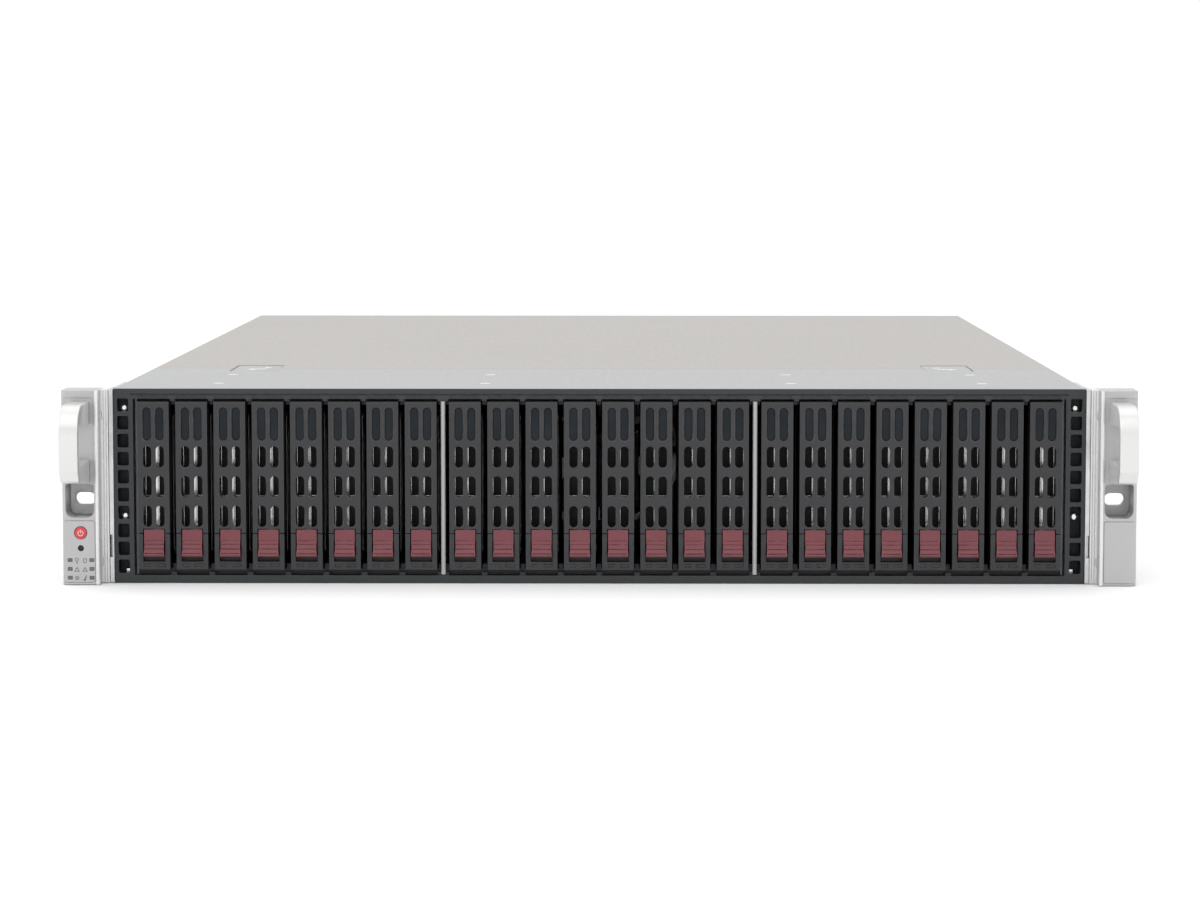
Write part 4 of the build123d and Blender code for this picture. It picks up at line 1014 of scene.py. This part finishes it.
def latch_hole(side, y):
    """The part of a latch's finger opening between two depths, with round corners, as a solid."""
    x = side * LATCH_X
    hole = rounded("cutter", (x - 11.5, x + 11.5), (104.0, 148.0), (80.0, 90.0), Z, 3.0, 5)
    limit = box("limit", (x - 20.0, x + 20.0), y, (70.0, 95.0))
    return cut(hole, limit, way="INTERSECT")


def cover_side(side, y):
    """A cover's folded side just inside the wall, with its lower corners rounded."""
    flange = box("flange", beside(side, 216.1, 217.1), y, (84.0, 87.2))
    return round_edges(flange, X, 1.5, 4, lambda at: at.z < 84.5)


def shape_front_cover():
    """The fixed cover: rolled front edge, folded sides, screw seats and the front part of each opening."""
    sheet = box("front_sheet", (-HALF_BODY, HALF_BODY), (LIP_BACK, 124.7), (SHEET_LOW, BODY_TOP))
    round_edges(sheet, Y, 0.7, 4, lambda at: at.z > 87.5)
    round_edges(sheet, X, 0.5, 3, lambda at: at.z > 87.5)
    cut(sheet, latch_hole(-1, (90.0, 126.0)))
    cut(sheet, latch_hole(1, (90.0, 126.0)))
    seats = [bar("cutter", 1.5, x, y, (86.9, 88.01), 32, 2.9) for x in SCREW_COLUMNS for y in SCREW_ROWS]
    cut(sheet, *seats)
    sides = [cover_side(side, (-1.5, 120.0)) for side in (-1, 1)]
    return soften(join("front_cover_sheet", sheet, *sides), 0.12, 2)


def shape_rear_cover():
    """The lift-off cover: rounded seam edge, folded sides and the short fold over the rear wall."""
    sheet = box("rear_sheet", (-HALF_BODY, HALF_BODY), (125.4, 619.2), (SHEET_LOW, BODY_TOP))
    round_edges(sheet, Y, 0.7, 4, lambda at: at.z > 87.5)
    round_edges(sheet, X, 0.6, 4, lambda at: at.z > 87.5)
    cut(sheet, latch_hole(-1, (125.0, 160.0)))
    cut(sheet, latch_hole(1, (125.0, 160.0)))
    fold = box("fold", (-HALF_BODY, HALF_BODY), (618.2, 619.15), (85.0, 87.3))
    sides = [cover_side(side, (165.0, 611.8)) for side in (-1, 1)]
    return soften(join("rear_cover_sheet", sheet, fold, *sides), 0.12, 2)


def shape_latch_well():
    """The pressed dish under the right latch, which closes the opening from below."""
    across, low = (LATCH_X - 12.3, LATCH_X + 12.3), 82.6
    left, right = across
    front, back = WELL_Y
    floor = box("well", across, WELL_Y, (82.3, 83.0))
    walls = [box("well", x, WELL_Y, (low, 86.8)) for x in ((left, left + 0.7), (right - 0.7, right))]
    walls.append(box("well", across, (back - 0.7, back), (low, 86.8)))
    walls.append(box("well", across, (front, front + 0.6), (low, 85.6)))
    return soften(join("latch_well", floor, *walls), 0.15, 2)


def shape_cover_screw():
    """One flush cross-head screw at the first place on the front cover."""
    x, y = SCREW_COLUMNS[0], SCREW_ROWS[0]
    head = bar("screw", 1.4, x, y, (SHEET_LOW, 87.96), 28, 2.7)
    for wide, deep in ((1.7, 0.32), (0.32, 1.7)):
        cut(head, box("cutter", (x - wide, x + wide), (y - deep, y + deep), (87.4, 89.0)))
    shank = bar("screw", 1.35, x, y, (84.4, 87.1), 16)
    return join("screw", head, shank)


def shape_latch():
    """The right cover latch: a sprung leaf that nearly fills its opening, and its raised ribs, bright as
    painted highlights.
    """
    x = LATCH_X
    leaf = rounded("latch", (x - 11.1, x + 11.1), (104.4, 147.6), (86.3, 87.75), Z, 2.7, 5)
    root = box("latch", (x - 9.0, x + 9.0), (100.55, 106.0), (85.9, 86.7))
    spots = ((-5.0, 4.5, (121.0, 122.6)), (-6.5, -3.0, (130.5, 132.5)), (0.5, 2.5, (117.4, 118.6)))
    ribs = [rounded("rib", (x + left, x + right), y, (87.6, 87.95), Z, 0.4, 3) for left, right, y in spots]
    return soften(join("latch", leaf, root), 0.2, 2), soften(join("latch_ribs", *ribs), 0.1, 2)


class SHELF_OT_top_fittings(bpy.types.Operator):
    """Model the two covers, the front one's screws and the two latches in their wells"""

    bl_idname = "shelf.top_fittings"
    bl_label = "Covers, screws and latches"

    def execute(self, context):
        first = shape_cover_screw()
        places = [(x, y) for x in SCREW_COLUMNS for y in SCREW_ROWS]
        shifts = [(x - SCREW_COLUMNS[0], y - SCREW_ROWS[0], 0) for x, y in places[1:]]
        screws = row_of("cover_screw_set", first, shifts)
        place(soften(screws, 0.12, 2), "Bright metal", "chassis", "screw_steel", "cover_screws")
        place(shape_front_cover(), "Zinc sheet", "chassis", "zinc_steel", "front_cover")
        # The rear cover's warmer zinc is painted light
        place(shape_rear_cover(), "Warm zinc sheet", "rear_cover", "cover_steel", "rear_cover")
        well = shape_latch_well()
        for piece in (mirrored(well, "latch_well_left"), well):
            place(piece, "Zinc sheet", "chassis", "zinc_steel")
        # The ribs' bright metal is a painted highlight on the latch
        for piece, look in zip(shape_latch(), ("Zinc sheet", "Bright metal")):
            twin = mirrored(piece, f"{piece.name}_left")
            piece.name = f"{piece.name}_right"
            place(piece, look, "cover_latch_right", "zinc_steel", "cover_latch_right")
            place(twin, look, "cover_latch_left", "zinc_steel", "cover_latch_left")
        return {"FINISHED"}


# Nodes that keep their solids


class SHELF_OT_finishes(bpy.types.Operator):
    """Give every solid that stays visible a finish of its own"""

    bl_idname = "shelf.finishes"
    bl_label = "Finishes of the solids"

    def execute(self, context):
        looks = {
            "Zinc sheet": ("base_tray", "rear_panel", "cage_plates", "fan_wall", "psu_cage"),
            "Slate frame plastic": ("drive_guides",),
            "Circuit board": ("backplane", "power_board", "control_board"),
            "Fan plastic": ("fan_housings", "fan_rotor_1", "fan_rotor_2", "fan_rotor_3"),
            "Plated steel": ("rear_ports",),
            "Supply sheet": ("psu_lower", "psu_upper"),
            "Burgundy plastic": ("psu_latch_lower", "psu_latch_upper"),
        }
        for look, nodes in looks.items():
            for node in nodes:
                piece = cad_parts[node]
                piece.data.materials.clear()
                piece.data.materials.append(finish(look))
        return {"FINISHED"}


# Stage


class SHELF_OT_stage(bpy.types.Operator):
    """Lay a pale floor, set soft studio lights and place the camera"""

    bl_idname = "shelf.stage"
    bl_label = "Floor, lights and camera"

    def execute(self, context):
        look = context.scene.shelf_look
        clear()
        bpy.ops.mesh.primitive_plane_add(size=12, location=(0, 0.3, CAD_BOX[0].z))
        floor = bpy.context.object
        floor.name = "floor"
        floor.data.materials.append(floor_finish())
        lights = (
            ("key_light", (-0.6, -1.6, 2.3), 2.6, look.key_power),
            ("fill_light", (2.0, -1.4, 1.2), 2.0, look.key_power * 0.45),
            ("side_light", (-2.2, -0.6, 0.9), 1.8, look.key_power * 0.4),
            ("top_light", (0.0, 1.0, 2.6), 2.4, look.key_power * 0.7),
        )
        target = Vector((0, 0.15, 0.04))
        for name, spot, size, power in lights:
            bpy.ops.object.light_add(type="AREA", location=spot)
            light = bpy.context.object
            light.name = name
            light.data.size = size
            light.data.energy = power
            light.rotation_euler = (target - light.location).to_track_quat("-Z", "Y").to_euler()
        context.scene.view_settings.view_transform = "Standard"
        world = context.scene.world = context.scene.world or bpy.data.worlds.new("Pale studio")
        world.use_nodes = True
        backdrop = world.node_tree.nodes["Background"]
        backdrop.inputs["Color"].default_value = (1, 1, 1, 1)
        backdrop.inputs["Strength"].default_value = look.world_strength
        bpy.ops.object.camera_add(location=(0.016, -1.601, 0.204))
        camera = bpy.context.object
        camera.name = "camera"
        camera.data.lens = look.lens
        camera.data.sensor_width = 36
        camera.rotation_euler = (math.radians(90 - 5.16), 0, math.radians(0.56))
        context.scene.camera = camera
        return {"FINISHED"}


# Settings and panel


def colour_setting(label, what, value):
    """A colour that a user may change."""
    return FloatVectorProperty(
        name=label, description=f"Base colour of the {what}", subtype="COLOR", default=value, min=0, max=1,
    )


class ShelfLook(bpy.types.PropertyGroup):
    """Colours and stage settings that a user may change"""

    frame_colour: colour_setting("Frame colour", "frame round the bays", (0.018, 0.022, 0.025))
    carrier_colour: colour_setting("Carrier colour", "carriers' faces", (0.02, 0.02, 0.0225))
    button_colour: colour_setting("Button colour", "release buttons", (0.16, 0.035, 0.045))
    ear_colour: colour_setting("Ear colour", "rack ears", (0.46, 0.455, 0.46))
    lens: FloatProperty(
        name="Lens", description="Focal length of the camera", default=106.5, min=20, max=300, unit="CAMERA",
    )
    key_power: FloatProperty(
        name="Key light", description="Power of the main soft light", default=14.0, min=0, unit="POWER",
    )
    world_strength: FloatProperty(
        name="Surround light", description="Strength of the pale surround", default=1.06, min=0,
    )


MAKERS = (
    SHELF_OT_stage,
    SHELF_OT_finishes,
    SHELF_OT_carriers,
    SHELF_OT_bay_frame,
    SHELF_OT_ears,
    SHELF_OT_ear_plates,
    SHELF_OT_top_fittings,
)


class SHELF_PT_panel(bpy.types.Panel):
    """The settings and the makers of the shelf"""

    bl_label = "Disk shelf"
    bl_idname = "SHELF_PT_panel"
    bl_space_type = "VIEW_3D"
    bl_region_type = "UI"
    bl_category = "Shelf"

    def draw(self, context):
        look = context.scene.shelf_look
        for name in ShelfLook.__annotations__:
            self.layout.prop(look, name)
        for maker in MAKERS:
            self.layout.operator(maker.bl_idname)


CLASSES = (ShelfLook, *MAKERS, SHELF_PT_panel)


def register():
    for item in CLASSES:
        bpy.utils.register_class(item)
    bpy.types.Scene.shelf_look = PointerProperty(type=ShelfLook)


def unregister():
    del bpy.types.Scene.shelf_look
    for item in reversed(CLASSES):
        bpy.utils.unregister_class(item)


def main():
    """Makes the stage and every piece."""
    register()
    for maker in MAKERS:
        getattr(bpy.ops.shelf, maker.bl_idname.split(".")[1])()


if __name__ == "__main__":
    main()
